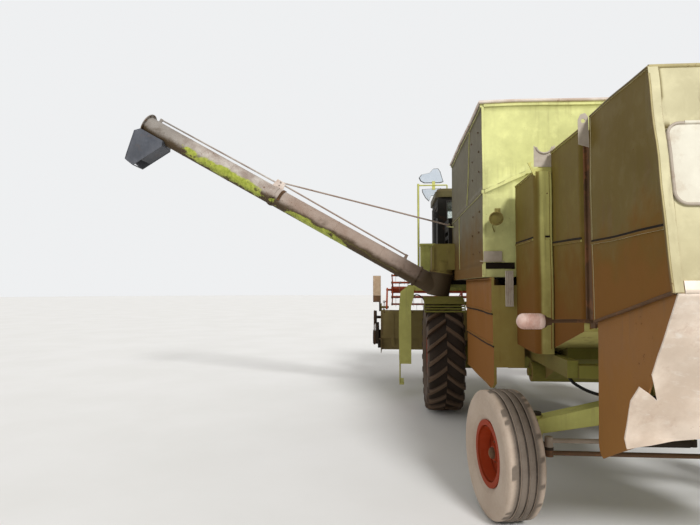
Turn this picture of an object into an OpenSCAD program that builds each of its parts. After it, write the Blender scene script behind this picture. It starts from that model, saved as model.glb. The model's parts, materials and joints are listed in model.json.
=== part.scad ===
// Combine harvester with its grain header, unloading auger swung out to the left.
// Sizes are in millimetres. The machine is drawn with X forward from the front axle, Y to the
// left from the centre line and Z up from the ground, and in_frame() then moves it so that the
// middle of its overall box stands at the origin.

/* [Front wheels] */
// Diameter over the lugs
front_tyre_d = 1440; // [1400:10:1450]
// Width over the sidewalls
front_tyre_w = 470; // [440:5:480]
// Height of a lug
lug_h = 38; // [28:1:42]
// Seat diameter of the rim
front_rim_d = 780; // [740:5:820]
// Centre line to the middle of the tyre
front_track_half = 1240; // [1235:1:1275]

/* [Rear wheels] */
// Diameter over the ribs
rear_tyre_d = 885; // [860:5:900]
// Width over the sidewalls
rear_tyre_w = 270; // [250:5:280]
// Seat diameter of the rim
rear_rim_d = 410; // [390:5:430]
// Centre line to the middle of the tyre
rear_track_half = 1122; // [1110:1:1135]
// Front axle to rear axle
wheelbase = 3320; // [3250:5:3360]
// Angle that the rear wheels stand turned to the left
steer_rest = 11; // [0:1:15]
// Kingpin to the tie rod's pin
steer_arm = 200; // [180:5:210]

/* [Body] */
// Half of the width of the threshing body and the hood
body_half = 675; // [660:1:685]
// Half of the width over the bulged walker guards
bulge_half = 800; // [760:5:830]
// Underside of the body behind the fan
body_floor = 1100; // [1090:1:1120]
// Top of the body under the grain tank
deck_z = 1700; // [1690:1:1710]
// Top of the walker section behind the tank
walker_top = 2640; // [2600:5:2660]

/* [Straw hood] */
// Front edge of the hood
hood_front = -3940; // [-3960:5:-3930]
// Upper rear corner of the hood
hood_top_x = -4700; // [-4740:5:-4660]
// Lower rear corner of the hood
hood_low_x = -4900; // [-4960:5:-4860]
// Top of the hood
hood_top = 2660; // [2640:5:2700]
// Lower edge of the hood at its rear
hood_low = 1590; // [1560:5:1620]
// Thickness of a hood panel
hood_t = 16; // [12:1:20]

/* [Side guards] */
// Half of the width over the side guards
guard_half = 1015; // [1005:1:1025]
// Lower edge of the side guards
guard_low = 700; // [660:5:740]
// Rear edge of the side guards
guard_rear = -2430; // [-2440:1:-2400]
// Front edge of the side guards
guard_front = -745; // [-790:5:-740]

/* [Grain tank] */
// Half of the width over the tank
tank_half = 1070; // [1060:1:1080]
// Rear wall of the tank
tank_rear = -2330; // [-2350:1:-2320]
// Front wall of the tank
tank_front = 250; // [245:1:260]
// Top edge of the tank
tank_top = 3300; // [3200:10:3400]
// Height of the seam between the tank's lower and upper panels
tank_seam = 2480; // [2440:5:2520]
// Thickness of a tank wall
tank_t = 20; // [14:1:24]

/* [Unloading auger] */
// Radius of the tube
tube_r = 130; // [115:1:135]
// Length of the tube from the swing axis to its end plate
tube_len = 4700; // [4400:20:4900]
// Rise of the tube while it is swung out
tube_rise = 29.5; // [27:0.5:31]
// Place of the tube's foot forward of the axle
foot_x = 100; // [90:1:110]
// Place of the tube's foot to the left
foot_y = 1270; // [1265:1:1280]
// Height of the tube's foot
foot_z = 1590; // [1588:1:1600]

/* [Cab] */
// Rear wall of the cab
cab_rear = 850; // [845:1:880]
// Front of the cab
cab_front = 1950; // [1900:5:1960]
// Half of the width of the cab
cab_half = 1220; // [1180:5:1240]
// Top of the platform
floor_z = 1640; // [1636:1:1650]
// Underside of the roof
cab_top = 2950; // [2930:10:3000]
// Thickness of the cab's posts
post_t = 70; // [55:1:80]

/* [Header] */
// Half of the width between the header's end plates
header_half = 2092; // [1900:10:2200]
// Back sheet of the header
back_x = 1950; // [1945:1:1965]
// Cutting edge of the knife
knife_x = 2800; // [2780:5:2840]
// Height of the header's floor
trough_z = 520; // [510:1:530]
// Tip of a divider
divider_x = 3300; // [3220:10:3400]
// Diameter over the intake auger's flights
intake_d = 480; // [440:5:490]
// Diameter over the reel's tines
reel_d = 910; // [840:5:915]
// Number of the reel's bats
bat_n = 6; // [5:1:6]
// Distance between two tines
tine_step = 160; // [150:10:240]

/* [Hidden] */

$fn = 40;
// Gap between a piece and its seat, or a shaft and its bore
seat = 0.3;
// Overlap that fuses two pieces of one node
weld = 1;

paint = "YellowGreen";
dusty = "Tan";
red = "Firebrick";
steel = "Gray";
dark = "DimGray";

// Places of the axles
front_r = front_tyre_d / 2;
rear_r = rear_tyre_d / 2;
rear_x = -wheelbase;

// Slope of the hood's rear face and of the apron below it
face_len = norm([hood_top_x - hood_low_x, hood_top - hood_low]);
face_angle = atan2(hood_top - hood_low, hood_top_x - hood_low_x);
apron_t = 10;
apron_foot = [-4440, 800];
apron_len = norm([apron_foot.x - hood_low_x, apron_foot.y - hood_low]);
apron_angle = atan2(hood_low - apron_foot.y, apron_foot.x - hood_low_x);

// Unloading auger: the axis it swings about, its foot and its tip
swing_axis = [-0.0570, -0.1601, 0.9855];
foot = [foot_x, foot_y, foot_z];
out_dir = [0, cos(tube_rise), sin(tube_rise)];
tip = foot + tube_len * out_dir;
// Outline of the spout along and above the tube's axis, counted from the tip
spout_mouth = [[-154, -584], [-6, -564]];
spout_top = [[-387, -165], [75, -150]];

// Middle of the overall box at rest
reach_front = divider_x;
reach_rear = hood_low_x - apron_t * sin(face_angle);
reach_left = tip.y + max([for (p = concat(spout_mouth, spout_top))
    p.x * cos(tube_rise) - p.y * sin(tube_rise)]);
plate_t = 8;
divider_w = 60;
reach_right = -(header_half + plate_t + divider_w);
mid_x = (reach_front + reach_rear) / 2;
mid_y = (reach_left + reach_right) / 2;

module in_frame() translate([-mid_x, -mid_y, 0]) children();

// Extrudes an outline drawn in X and Z between two places across the machine
module across(y0, y1) translate([0, y1, 0]) rotate([90, 0, 0]) linear_extrude(y1 - y0) children();

// Extrudes an outline drawn in Y and Z between two places along the machine
module along(x0, x1) translate([x0, 0, 0]) rotate([90, 0, 90]) linear_extrude(x1 - x0) children();

module both_sides() {
    children();
    mirror([0, 1, 0]) children();
}

// A box between two corners
module block(a, b) translate(a) cube(b - a);

// A round bar across the machine, at x and z between two places
module bar_y(x, z, r, y0, y1) translate([x, y1, z]) rotate([90, 0, 0]) cylinder(r = r, h = y1 - y0);

// Turns local Z to point along a direction
module aim(d) rotate([0, acos(d.z / norm(d)), atan2(d.y, d.x)]) children();

// A round bar between two points
module rod(a, b, r) translate(a) aim(b - a) cylinder(r = r, h = norm(b - a));

// Points on an arc about a centre
function arc(c, r, a0, a1, n = 6) = [for (i = [0:n]) let (a = a0 + (a1 - a0) * i / n)
    [c.x + r * cos(a), c.y + r * sin(a)]];

// A rectangle with four round corners
function round_rect(x0, y0, x1, y1, r) = concat(arc([x0 + r, y0 + r], r, 180, 270),
    arc([x1 - r, y0 + r], r, 270, 360), arc([x1 - r, y1 - r], r, 0, 90), arc([x0 + r, y1 - r], r, 90, 180));

// Wheels: their local Z points outward from the machine
module at_wheel(x, side, y, z) translate([x, side * y, z]) rotate([-90 * side, 0, 0]) children();
module at_front(side) in_frame() at_wheel(0, side, front_track_half, front_r) children();

// Turns a rear wheel and its knuckle about the kingpin to the angle they stand at
kingpin_y = rear_track_half - 250;
module steered(side) in_frame()
    translate([rear_x, side * kingpin_y, 0]) rotate(steer_rest)
        translate([-rear_x, -side * kingpin_y, 0]) children();
module at_rear(side) steered(side) at_wheel(rear_x, side, rear_track_half, rear_r) children();

tyre_fn = 28;
bead_h = 26;
flange_t = 12;
// Bead of a tyre: its flats clear the round seat of the rim
function bead_r(rim_d) = (rim_d / 2 + seat) / cos(180 / tyre_fn);
// Outline of a tyre from one half of it, whose points are [share of the width, radius]
function tyre_outline(half, w) = concat([for (p = half) [p[1], -p[0] * w]],
    [for (i = [len(half) - 1:-1:0]) [half[i][1], half[i][0] * w]]);

lug_n = 18;
lug_base = 42;
lug_land = 30;
// Ends of a lug over half of the tread: [share of the width, turn round the wheel, drop]
lug_ends = [[0, 0, 0], [0.46, 13, 22]];

// A driven tyre, whose lugs point up at the back of the machine on either side
module front_tyre(side) {
    r0 = bead_r(front_rim_d);
    crown = front_r - lug_h;
    color(dark) {
        rotate_extrude($fn = tyre_fn) polygon(tyre_outline([[0.36, r0], [0.36, r0 + bead_h + 6],
            [0.5, (r0 + crown) / 2 + 20], [0.42, crown - 14]], front_tyre_w));
        for (i = [0:lug_n - 1], s = [-1, 1])
            rotate((i + (s > 0 ? 0.5 : 0)) * 360 / lug_n) lug(s, crown, side);
    }
}

// One lug from the middle of the tread over the shoulder
module lug(s, crown, side) hull() for (e = lug_ends)
    rotate(-side * e[1]) translate([0, 0, s * e[0] * front_tyre_w]) rotate([90, 0, 0])
        linear_extrude(6, center = true)
            polygon([[crown - 50, -lug_base], [front_r - e[2], -lug_land], [front_r - e[2], lug_land],
                [crown - 50, lug_base]]);

module front_rim() {
    half = 0.36 * front_tyre_w + seat;
    r = front_rim_d / 2;
    hub = stub_r + 45;
    color(red) difference() {
        rotate_extrude() polygon([[0, 120], [hub, 120], [hub + 20, 60], [r - 70, 40], [r - 24, 90],
            [r - 16, half + flange_t], [r + bead_h, half + flange_t], [r + bead_h, half], [r, half],
            [r, -half], [r + bead_h, -half], [r + bead_h, -half - flange_t],
            [r - 16, -half - flange_t], [r - 16, -half + 10], [r - 44, 0], [r - 90, 16],
            [hub + 30, 24], [hub, -60], [0, -60]]);
        translate([0, 0, -61]) cylinder(r = stub_r + seat, h = 150);
    }
}

module rear_tyre() {
    r0 = bead_r(rear_rim_d);
    groove = 16;
    color(dark) rotate_extrude($fn = tyre_fn) polygon(tyre_outline([[0.36, r0], [0.36, r0 + bead_h + 6],
        [0.5, (r0 + rear_r) / 2], [0.45, rear_r - 26], [0.26, rear_r - 3], [0.21, rear_r - groove],
        [0.16, rear_r]], rear_tyre_w));
}

module rear_rim() {
    half = 0.36 * rear_tyre_w + seat;
    r = rear_rim_d / 2;
    color(red) difference() {
        rotate_extrude() polygon([[0, 66], [50, 66], [62, 44], [90, 22], [r - 46, 12], [r - 16, 60],
            [r - 12, half + flange_t], [r + bead_h, half + flange_t], [r + bead_h, half], [r, half],
            [r, -half], [r + bead_h, -half], [r + bead_h, -half - flange_t],
            [r - 12, -half - flange_t], [r - 20, -16], [r - 54, 0], [90, 6], [62, -50], [0, -50]]);
        translate([0, 0, -51]) cylinder(r = spindle_r + seat, h = 95);
    }
}

module tyre_front_left() at_front(1) front_tyre(1);
module tyre_front_right() at_front(-1) front_tyre(-1);
module rim_front_left() at_front(1) front_rim();
module rim_front_right() at_front(-1) front_rim();
module tyre_rear_left() at_rear(1) rear_tyre();
module tyre_rear_right() at_rear(-1) rear_tyre();
module rim_rear_left() at_rear(1) rear_rim();
module rim_rear_right() at_rear(-1) rear_rim();

// Front axle: beam, final drives, wheel stubs and the brackets of the lift cylinders
stub_r = 60;
beam_w = 180;
beam_h = 200;
drive_r = 180;
drive_in = 760;
drive_out = front_track_half - 260;
pin_r = 20;
lift_y = 480;
lift_foot = [230, 590];
// Inner face of the ears either side of a lift cylinder, and their thickness
lift_ear = 31;
lift_ear_t = 18;
module front_axle() in_frame() color(paint) {
    block([-beam_w / 2, -drive_in - weld, front_r - beam_h / 2],
        [beam_w / 2, drive_in + weld, front_r + beam_h / 2]);
    both_sides() {
        bar_y(0, front_r, drive_r, drive_in, drive_out);
        bar_y(0, front_r, drive_r - 60, drive_out - weld, drive_out + 30);
        bar_y(0, front_r, stub_r, drive_out, front_track_half + 80);
        for (y = [lift_y - lift_ear - lift_ear_t, lift_y + lift_ear]) across(y, y + lift_ear_t)
            polygon(concat([[beam_w / 2 - weld, front_r + 40], [beam_w / 2 - weld, front_r - 95]],
                arc(lift_foot, 34, -110, 70)));
        bar_y(lift_foot.x, lift_foot.y, pin_r, lift_y - lift_ear - weld, lift_y + lift_ear + weld);
    }
}

// Chassis frame: rails, pedestals on the front axle, rear cross member and the rear axle's ears
throat_floor = 1270;
rail_in = 600;
rail_low = body_floor - 120;
axle_z = 740;
axle_half = 70;
pivot_r = 30;
ear_r = 46;
ear_t = 20;
module frame() in_frame() color(dusty) {
    both_sides() {
        block([rear_x - 100, rail_in, rail_low], [-beam_w / 2 + weld, body_half, body_floor]);
        block([-beam_w / 2, rail_in - 20, front_r + beam_h / 2], [beam_w / 2, body_half, throat_floor]);
    }
    for (x = [rear_x - 120, -beam_w / 2 - 100])
        block([x, -rail_in - weld, rail_low], [x + 100, rail_in + weld, rail_low + 90]);
    block([rear_x - 120, -150, rail_low], [rear_x + 120, 150, rail_low + 90]);
    for (x = [rear_x - axle_half - seat - ear_t, rear_x + axle_half + seat])
        along(x, x + ear_t)
            polygon(concat([[120, rail_low + weld], [-120, rail_low + weld]],
                arc([0, axle_z], ear_r, 180, 360)));
    translate([rear_x - axle_half - ear_t - 12, 0, axle_z]) rotate([0, 90, 0])
        cylinder(r = pivot_r, h = 2 * axle_half + 2 * ear_t + 24);
}

// Rear axle: a beam that rises to its middle, with kingpin housings, a tow hitch and the foot of
// the steering cylinder
king_z = rear_r + 190;
king_h = 70;
king_r = 25;
housing_r = 48;
hitch_r = 16.5;
hitch_back = 240;
hitch_z = 655;
hitch_t = 30;
cyl_foot = [rear_x - 180, -100];
cyl_z = 575;
module rear_axle() in_frame() color(paint) difference() {
    union() {
        along(rear_x - axle_half, rear_x + axle_half)
            polygon([[-kingpin_y, king_z + 50], [-380, axle_z + 60], [380, axle_z + 60],
                [kingpin_y, king_z + 50], [kingpin_y, king_z - 50], [380, axle_z - 75],
                [-380, axle_z - 75], [-kingpin_y, king_z - 50]]);
        for (s = [-1, 1]) translate([rear_x, s * kingpin_y, king_z - king_h])
            cylinder(r = housing_r, h = 2 * king_h);
        block([rear_x - hitch_back - 50, -70, hitch_z], [rear_x - axle_half + weld, 70, hitch_z + hitch_t]);
        translate([rear_x - hitch_back - 50, 0, hitch_z]) cylinder(r = 70, h = hitch_t);
        block([cyl_foot.x - 30, cyl_foot.y - 170, cyl_z + 40],
            [rear_x - axle_half + weld, cyl_foot.y + 30, cyl_z + 60]);
        block([rear_x - axle_half - 12, cyl_foot.y - 170, cyl_z + 41],
            [rear_x - axle_half + weld, cyl_foot.y + 30, axle_z - 20]);
        translate([cyl_foot.x, cyl_foot.y, cyl_z - 24]) cylinder(r = 14, h = 70);
    }
    for (s = [-1, 1]) translate([rear_x, s * kingpin_y, king_z - king_h - 1])
        cylinder(r = king_r + seat, h = 2 * king_h + 2);
    translate([rear_x - axle_half - 1, 0, axle_z]) rotate([0, 90, 0])
        cylinder(r = pivot_r + seat, h = 2 * axle_half + 2);
    translate([rear_x - hitch_back - 50, 0, hitch_z - 1]) cylinder(r = hitch_r, h = hitch_t + 2);
}

// Knuckle: kingpin, stub and steering arm, drawn straight ahead
spindle_r = 38;
arm_z = 515;
arm_t = 20;
tie_pin_r = 12;
module knuckle(side) steered(side) color(steel) translate([rear_x, side * kingpin_y, 0]) {
    translate([0, 0, king_z - king_h - 20]) cylinder(r = king_r, h = 2 * king_h + 40 + seat);
    translate([0, 0, king_z + king_h + seat]) cylinder(r = 40, h = 20);
    translate([0, 0, rear_r - 55]) cylinder(r = housing_r - 2, h = king_z - king_h - seat - rear_r + 55);
    translate([0, 0, rear_r]) rotate([-90 * side, 0, 0]) {
        cylinder(r = 52, h = rear_track_half - kingpin_y - 50 - seat);
        cylinder(r = spindle_r, h = rear_track_half - kingpin_y + 40);
    }
    difference() {
        union() {
            translate([-steer_arm, -24, arm_z]) cube([steer_arm, 48, arm_t]);
            translate([-steer_arm, 0, arm_z]) cylinder(r = 30, h = arm_t);
        }
        translate([-steer_arm, 0, arm_z - 1]) cylinder(r = tie_pin_r + seat, h = arm_t + 2);
    }
}
module knuckle_left() knuckle(1);
module knuckle_right() knuckle(-1);

// Ends of the steering arms as they stand
function arm_end(side) = [rear_x - steer_arm * cos(steer_rest),
    side * kingpin_y - steer_arm * sin(steer_rest)];

// Tie rod: its pins stand up through the steering arms
module tie_rod() in_frame() color(steel) {
    z = arm_z - 22;
    rod([arm_end(-1).x, arm_end(-1).y, z], [arm_end(1).x, arm_end(1).y, z], 16);
    for (s = [-1, 1]) translate([arm_end(s).x, arm_end(s).y, 0]) {
        translate([0, 0, z - 22]) cylinder(r = 28, h = arm_z - seat - z + 22);
        translate([0, 0, z]) cylinder(r = tie_pin_r, h = arm_z + arm_t - z - 2);
    }
}

// Steering cylinder above the left steering arm
cyl_dir = [arm_end(1).x - cyl_foot.x, arm_end(1).y - cyl_foot.y, 0];
barrel_len = 0.52 * norm(cyl_dir);
module steer_barrel() in_frame() color(dark) translate([cyl_foot.x, cyl_foot.y, cyl_z]) difference() {
    union() {
        translate([0, 0, -22]) cylinder(r = 30, h = 44);
        aim(cyl_dir) translate([0, 0, 20]) cylinder(r = 32, h = barrel_len);
    }
    translate([0, 0, -40]) cylinder(r = 14 + seat, h = 80);
    aim(cyl_dir) translate([0, 0, 60]) cylinder(r = 16 + seat, h = barrel_len);
}
module steer_rod() in_frame() color(steel) translate([cyl_foot.x, cyl_foot.y, cyl_z]) {
    aim(cyl_dir) translate([0, 0, 240]) cylinder(r = 16, h = norm(cyl_dir) - 240);
    translate(cyl_dir) translate([0, 0, arm_z + arm_t + seat - cyl_z])
        cylinder(r = 28, h = cyl_z - arm_z - arm_t + 26);
}

// Threshing body: a closed block below the tank with the cheeks that carry the feeder house
pivot = [620, 1250];
shaft_r = 30;
body_end = tank_rear - 20;
module threshing_body() in_frame() color(paint) difference() {
    union() {
        across(-body_half, body_half)
            polygon([[tank_front, throat_floor], [tank_front, deck_z], [body_end, deck_z],
                [body_end, body_floor], [-950, body_floor], [-950, throat_floor]]);
        both_sides() across(body_half - 30, body_half)
            polygon(concat([[tank_front - weld, throat_floor - 60], [tank_front - weld, deck_low - seat],
                [walk_x[0] - 10, deck_low - seat]], arc(pivot, 110, 0, -150)));
    }
    bar_y(pivot.x, pivot.y, shaft_r + seat, -body_half - 1, body_half + 1);
}

// Walker housing behind the tank: open to the hood, with bulged guards, a rear post and a bracket
// with a half-round notch above the left guard
post_w = 170;
post_in = 35;
bulge_front = -2450;
bulge_rear = -3120;
bulge_top = 2500;
mid_rear = hood_front + post_w;
bracket_x = -3090;
bracket_z = [2470, 2620];
bracket_out = 170;
notch_r = 32;
module walker_housing() in_frame() color(paint) difference() {
    union() {
        across(-body_half, body_half)
            polygon([[body_end, body_floor], [body_end, bulge_top], [bulge_rear, bulge_top],
                [bulge_rear, walker_top], [mid_rear, walker_top], [mid_rear, 1330], [-2900, body_floor]]);
        across(-body_half + post_in, body_half - post_in)
            polygon([[hood_front, 1370], [hood_front, walker_top - 30], [mid_rear + weld, walker_top - 30],
                [mid_rear + weld, 1345]]);
        both_sides() translate([0, 0, body_floor + 10]) linear_extrude(bulge_top - body_floor - 10)
            polygon(concat([[bulge_front, body_half - weld], [bulge_front, bulge_half]],
                arc([bulge_rear + 70, bulge_half - 70], 70, 90, 180), [[bulge_rear, body_half - weld]]));
        along(bracket_x, bracket_x + 8)
            polygon([[body_half - 60, bracket_z[0]], [body_half - 60, bracket_z[1]],
                [body_half + 70, bracket_z[1]], [body_half + 70, bracket_z[1] - 30],
                [body_half + bracket_out, bracket_z[1] - 52], [body_half + bracket_out - 45, bracket_z[0]]]);
    }
    across(-body_half + 60, body_half - 60)
        polygon([[hood_front - 1, 1440], [-3000, 1300], [-3000, walker_top - 90],
            [hood_front - 1, walker_top - 90]]);
    translate([bracket_x - 1, body_half + bracket_out - 56, bracket_z[1] - 66]) rotate([0, 90, 0])
        cylinder(r = notch_r, h = 10);
}

// Mudguards over the rear halves of the front tyres, each on a bar from the body
fender_r = front_r + 60;
fender_y = [front_track_half - front_tyre_w / 2 - 20, front_track_half + front_tyre_w / 2 + 20];
fender_end = 120;
fender_edge = [fender_r * cos(fender_end), front_r + fender_r * sin(fender_end)];
fender_bar_x = -330;
fender_bar = [fender_bar_x, front_r + sqrt(pow(fender_r, 2) - pow(fender_bar_x, 2)) - 22];
module mudguards() in_frame() color(paint) both_sides() {
    across(fender_y[0], fender_y[1])
        polygon(concat(arc([0, front_r], fender_r, 101, fender_end, 5),
            arc([0, front_r], fender_r - 6, fender_end, 101, 5)));
    bar_y(fender_bar.x, fender_bar.y, 20, body_half, front_track_half);
    for (y = [fender_y[0], fender_y[1] - 12]) across(y, y + 12)
        polygon([fender_edge + [24, 10], fender_edge + [-26, -6], fender_edge + [-98, -106],
            fender_edge + [-78, -106]]);
    for (d = [30, 62, 94])
        bar_y(fender_edge.x - 4 - 0.78 * d, fender_edge.y - d, 10, fender_y[0] + 6, fender_y[1] - 6,
            $fn = 16);
}

// Straw walkers: four sawtooth troughs in the open walker section, their cranks a quarter turn apart
walker_n = 4;
walker_half = 600;
walker_gap = 16;
walker_x = [-3000, -3890];
walker_z = 1590;
walker_deep = 90;
walker_lift = [0, 46, 12, 30];
tooth_n = 4;
tooth_h = 60;
module straw_walkers() in_frame() color(steel) {
    w = 2 * walker_half / walker_n;
    step = (walker_x[1] - walker_x[0]) / tooth_n;
    for (i = [0:walker_n - 1]) translate([0, -walker_half + i * w + walker_gap / 2, walker_lift[i]])
        difference() {
            across(0, w - walker_gap) polygon(concat([[walker_x[0], walker_z - walker_deep]],
                [for (k = [0:tooth_n - 1], e = [[0, 0], [1, tooth_h]])
                    [walker_x[0] + (k + e[0]) * step, walker_z + e[1]]],
                [[walker_x[1], walker_z - walker_deep + 40]]));
            across(12, w - walker_gap - 12) polygon(concat([[walker_x[0] - 12, walker_z - walker_deep + 14]],
                [[walker_x[0] - 12, walker_z + 200], [walker_x[1] - 1, walker_z + 200],
                [walker_x[1] - 1, walker_z - walker_deep + 54]]));
        }
}

// Straw hood: sheet shell, open in front, below and at the hatch
hatch_low = 400;
hatch_high = 790;
hatch_half = 625;
lap = 20;
hood_mouth = 1400;
module on_face() translate([hood_low_x, 0, hood_low]) rotate([0, -face_angle, 0]) children();
module straw_hood() in_frame() color(paint) difference() {
    union() {
        across(-body_half, body_half)
            polygon([[hood_front, hood_mouth], [hood_front, hood_top], [hood_top_x, hood_top],
                [hood_low_x, hood_low]]);
        on_face() both_sides() block([0, body_half - 42, -4], [face_len, body_half + 5, 8]);
    }
    across(-body_half + hood_t, body_half - hood_t)
        polygon([[hood_front - 12, hood_mouth - 99], [hood_front - 12, hood_top - hood_t],
            [hood_top_x + hood_t, hood_top - hood_t], [hood_low_x + hood_t, hood_low - 99]]);
    block([hood_front - 20, -body_half + 65, hood_mouth - 99],
        [hood_front + 1, body_half - 65, hood_top - 130]);
    on_face() block([hatch_low + lap, -hatch_half + lap, -40], [hatch_high - lap, hatch_half - lap, 20]);
}

// Side skirts hang inside the hood's side panels
skirt_t = 8;
skirt_half = body_half - hood_t;
skirt_front = hood_front - 13;
skirt_low = 690;
// Inner face of the hood's rear panel at a height
function hood_inner(z) = hood_low_x + hood_t + (hood_top_x - hood_low_x) * (z - hood_low + 99)
    / (hood_top - hood_t - hood_low + 99);
module hood_skirts() in_frame() color(dusty) both_sides() across(skirt_half - skirt_t, skirt_half)
    polygon(concat([[hood_inner(hood_low + 60) + 5, hood_low + 60], [skirt_front, hood_mouth + 60]],
        [[skirt_front, skirt_low]], arc([skirt_front - 80, skirt_low], 80, 0, -80, 4),
        [apron_foot, [hood_low_x + 6, hood_low - 8], [hood_inner(hood_low) + 5, hood_low - 8]]));

// Rear apron: a bent sheet riveted to the hood's lower edge, torn and flared at its lower left
apron_half = body_half - 16;
module rear_apron() in_frame() color("Silver") {
    on_face() block([-4, -body_half + 45, 0], [52, body_half - 45, apron_t]);
    translate([hood_low_x, 0, hood_low]) rotate([0, apron_angle, 0]) mirror([0, 0, 1])
        linear_extrude(apron_t)
            polygon([[0, -apron_half], [apron_len, -apron_half], [apron_len + 40, -420],
                [apron_len - 30, -80], [apron_len - 110, 320], [apron_len - 40, 560],
                [apron_len + 5, apron_half + 30], [apron_len - 60, apron_half + 54],
                [apron_len - 310, apron_half + 76], [apron_len - 400, apron_half + 55],
                [apron_len - 320, apron_half - 40], [apron_len - 470, apron_half + 16], [0, apron_half]]);
}

// Rear hatch: a plate over the opening of the hood's rear face, hung at its top
hinge_r = 9;
hatch_t = 8;
module rear_hatch() in_frame() on_face() color("Gainsboro") {
    translate([0, 0, seat]) linear_extrude(hatch_t)
        polygon(round_rect(hatch_low, -hatch_half, hatch_high, hatch_half, 60));
    translate([hatch_high + 2, hatch_half - 80, seat + hinge_r]) rotate([90, 0, 0])
        cylinder(r = hinge_r, h = 2 * hatch_half - 160);
    block([hatch_high - 20, -hatch_half + 80, seat], [hatch_high + 2, hatch_half - 80, seat + hatch_t]);
    for (y = [-280, 280]) difference() {
        block([hatch_low + 60, y - 70, seat + hatch_t - weld], [hatch_low + 76, y + 70, seat + hatch_t + 34]);
        block([hatch_low + 50, y - 56, seat + hatch_t], [hatch_low + 90, y + 56, seat + hatch_t + 22]);
    }
}

// Cleaning shoe: fan housing with open inlets, grain pan and two cross troughs
fan = [-600, 950];
fan_r = 255;
trough_r = 85;
shoe_half = 585;
troughs = [[-1500, 850], [-2450, 875]];
module cleaning_shoe() in_frame() color(dusty) {
    difference() {
        union() {
            bar_y(fan.x, fan.y, fan_r, -shoe_half, shoe_half);
            block([fan.x - 90, -shoe_half, fan.y], [fan.x + 90, shoe_half, throat_floor]);
        }
        bar_y(fan.x, fan.y, fan_r - 14, -shoe_half + 14, shoe_half - 14);
        bar_y(fan.x, fan.y, 150, -shoe_half - 1, shoe_half + 1);
    }
    across(-shoe_half, shoe_half)
        polygon([[-953, body_floor], [fan.x - 200, fan.y - 20], [fan.x - 215, fan.y - 110],
            [troughs[0].x + 60, troughs[0].y - 60], [troughs[0].x - 60, troughs[0].y - 60],
            [-1900, 960], [troughs[1].x + 60, troughs[1].y - 55], [troughs[1].x - 60, troughs[1].y - 55],
            [-3140, 1075], [-3140, body_floor + 60], [-2900, body_floor]]);
    for (t = troughs) {
        bar_y(t.x, t.y, trough_r, -body_half - 15, body_half + 15);
        bar_y(t.x, t.y, trough_r - 50, -body_half - 40, body_half + 40);
    }
}

// Grain tank: two sides, two ends, a sloping floor and the cross auger in its trough
lip = 12;
anchor_s = 860;
anchor = foot + anchor_s * swing_axis;
anchor_r = 12;
cross_s = 300;
cross_auger = (foot + cross_s * swing_axis).z;
cross_x = (foot + cross_s * swing_axis).x;
cross_r = 150;
tank_shaft_r = 22;
// Radius of the cross auger's trough between the front wall and the deck
trough_fit = min(cross_r, tank_front - tank_t - 10 - cross_x, cross_auger - deck_z - 10);
module tank_sides() in_frame() color(paint) {
    both_sides() difference() {
        union() {
            block([tank_rear, tank_half - tank_t, deck_z], [tank_front, tank_half, tank_top]);
            block([tank_rear, tank_half - weld, tank_top - 40], [tank_front, tank_half + lip, tank_top]);
            block([tank_rear, tank_half - weld, tank_seam - 15], [tank_front, tank_half + 8, tank_seam + 15]);
            block([tank_rear, tank_half - weld, deck_z],
                [foot.x - turret_r - 60, tank_half + 8, deck_z + 120]);
        }
        bar_y(cross_x, cross_auger, tank_shaft_r + seat, 0, tank_half + 20);
    }
    difference() {
        block([anchor.x - 35, tank_half - weld, anchor.z - 60], [anchor.x + 35, anchor.y + 30, anchor.z]);
        translate(anchor) aim(swing_axis) translate([0, 0, -12 - seat]) cylinder(r = 90, h = 90);
        translate(anchor) aim(swing_axis) translate([0, 0, -124 - seat]) cylinder(r = 90, h = 100);
    }
    translate(anchor) aim(swing_axis) translate([0, 0, -13]) cylinder(r = anchor_r, h = 34);
}

module tank_ends() in_frame() color(paint) {
    side = tank_half - tank_t;
    block([tank_rear, -side, deck_z], [tank_rear + tank_t, side, tank_top]);
    both_sides() along(tank_rear - 8, tank_rear + weld)
        polygon([[side, tank_seam - 15], [side, tank_seam + 15], [615, 2700], [575, 2700],
            [575, 2664], [600, 2664]]);
    block([tank_rear - 8, -576, 2664], [tank_rear + weld, 576, 2700]);
    block([tank_rear - lip, -side, tank_top - 40], [tank_rear + weld, side, tank_top]);
    block([tank_front - tank_t, -side, deck_z], [tank_front, side, tank_top]);
}

module tank_floor() in_frame() color(steel) difference() {
    side = tank_half - tank_t;
    x0 = tank_rear + tank_t;
    x1 = tank_front - tank_t;
    across(-side, side)
        polygon([[x0, 2150], [x0, 2110], [cross_x - cross_r - 10, deck_z + 60],
            [cross_x - cross_r - 10, deck_z], [x1, deck_z], [x1, 1960], [x1 - 12, 1960],
            [x1 - 12, cross_auger], [cross_x - cross_r, cross_auger]]);
    bar_y(cross_x, cross_auger, trough_fit, -side - 1, side + 1);
}

// A helical flight along Z, from its start, with a given hand, as a blade between two radii
module flight(r_in, r_out, length, pitch, hand)
    linear_extrude(length, twist = -hand * 360 * length / pitch, slices = ceil(12 * length / pitch),
        segments = 4) translate([r_in, -14]) square([r_out - r_in, 28]);

module tank_auger() in_frame() color(steel) translate([cross_x, 0, cross_auger]) rotate([90, 0, 0]) {
    side = tank_half - tank_t;
    r = trough_fit - 18;
    translate([0, 0, -side - tank_t + 2]) cylinder(r = tank_shaft_r, h = 2 * (side + tank_t - 2), $fn = 24);
    translate([0, 0, -side + 20]) cylinder(r = 36, h = 2 * side - 40, $fn = 24);
    translate([0, 0, -side + 24]) flight(30, r, 2 * side - 48, 300, -1);
}

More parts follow.
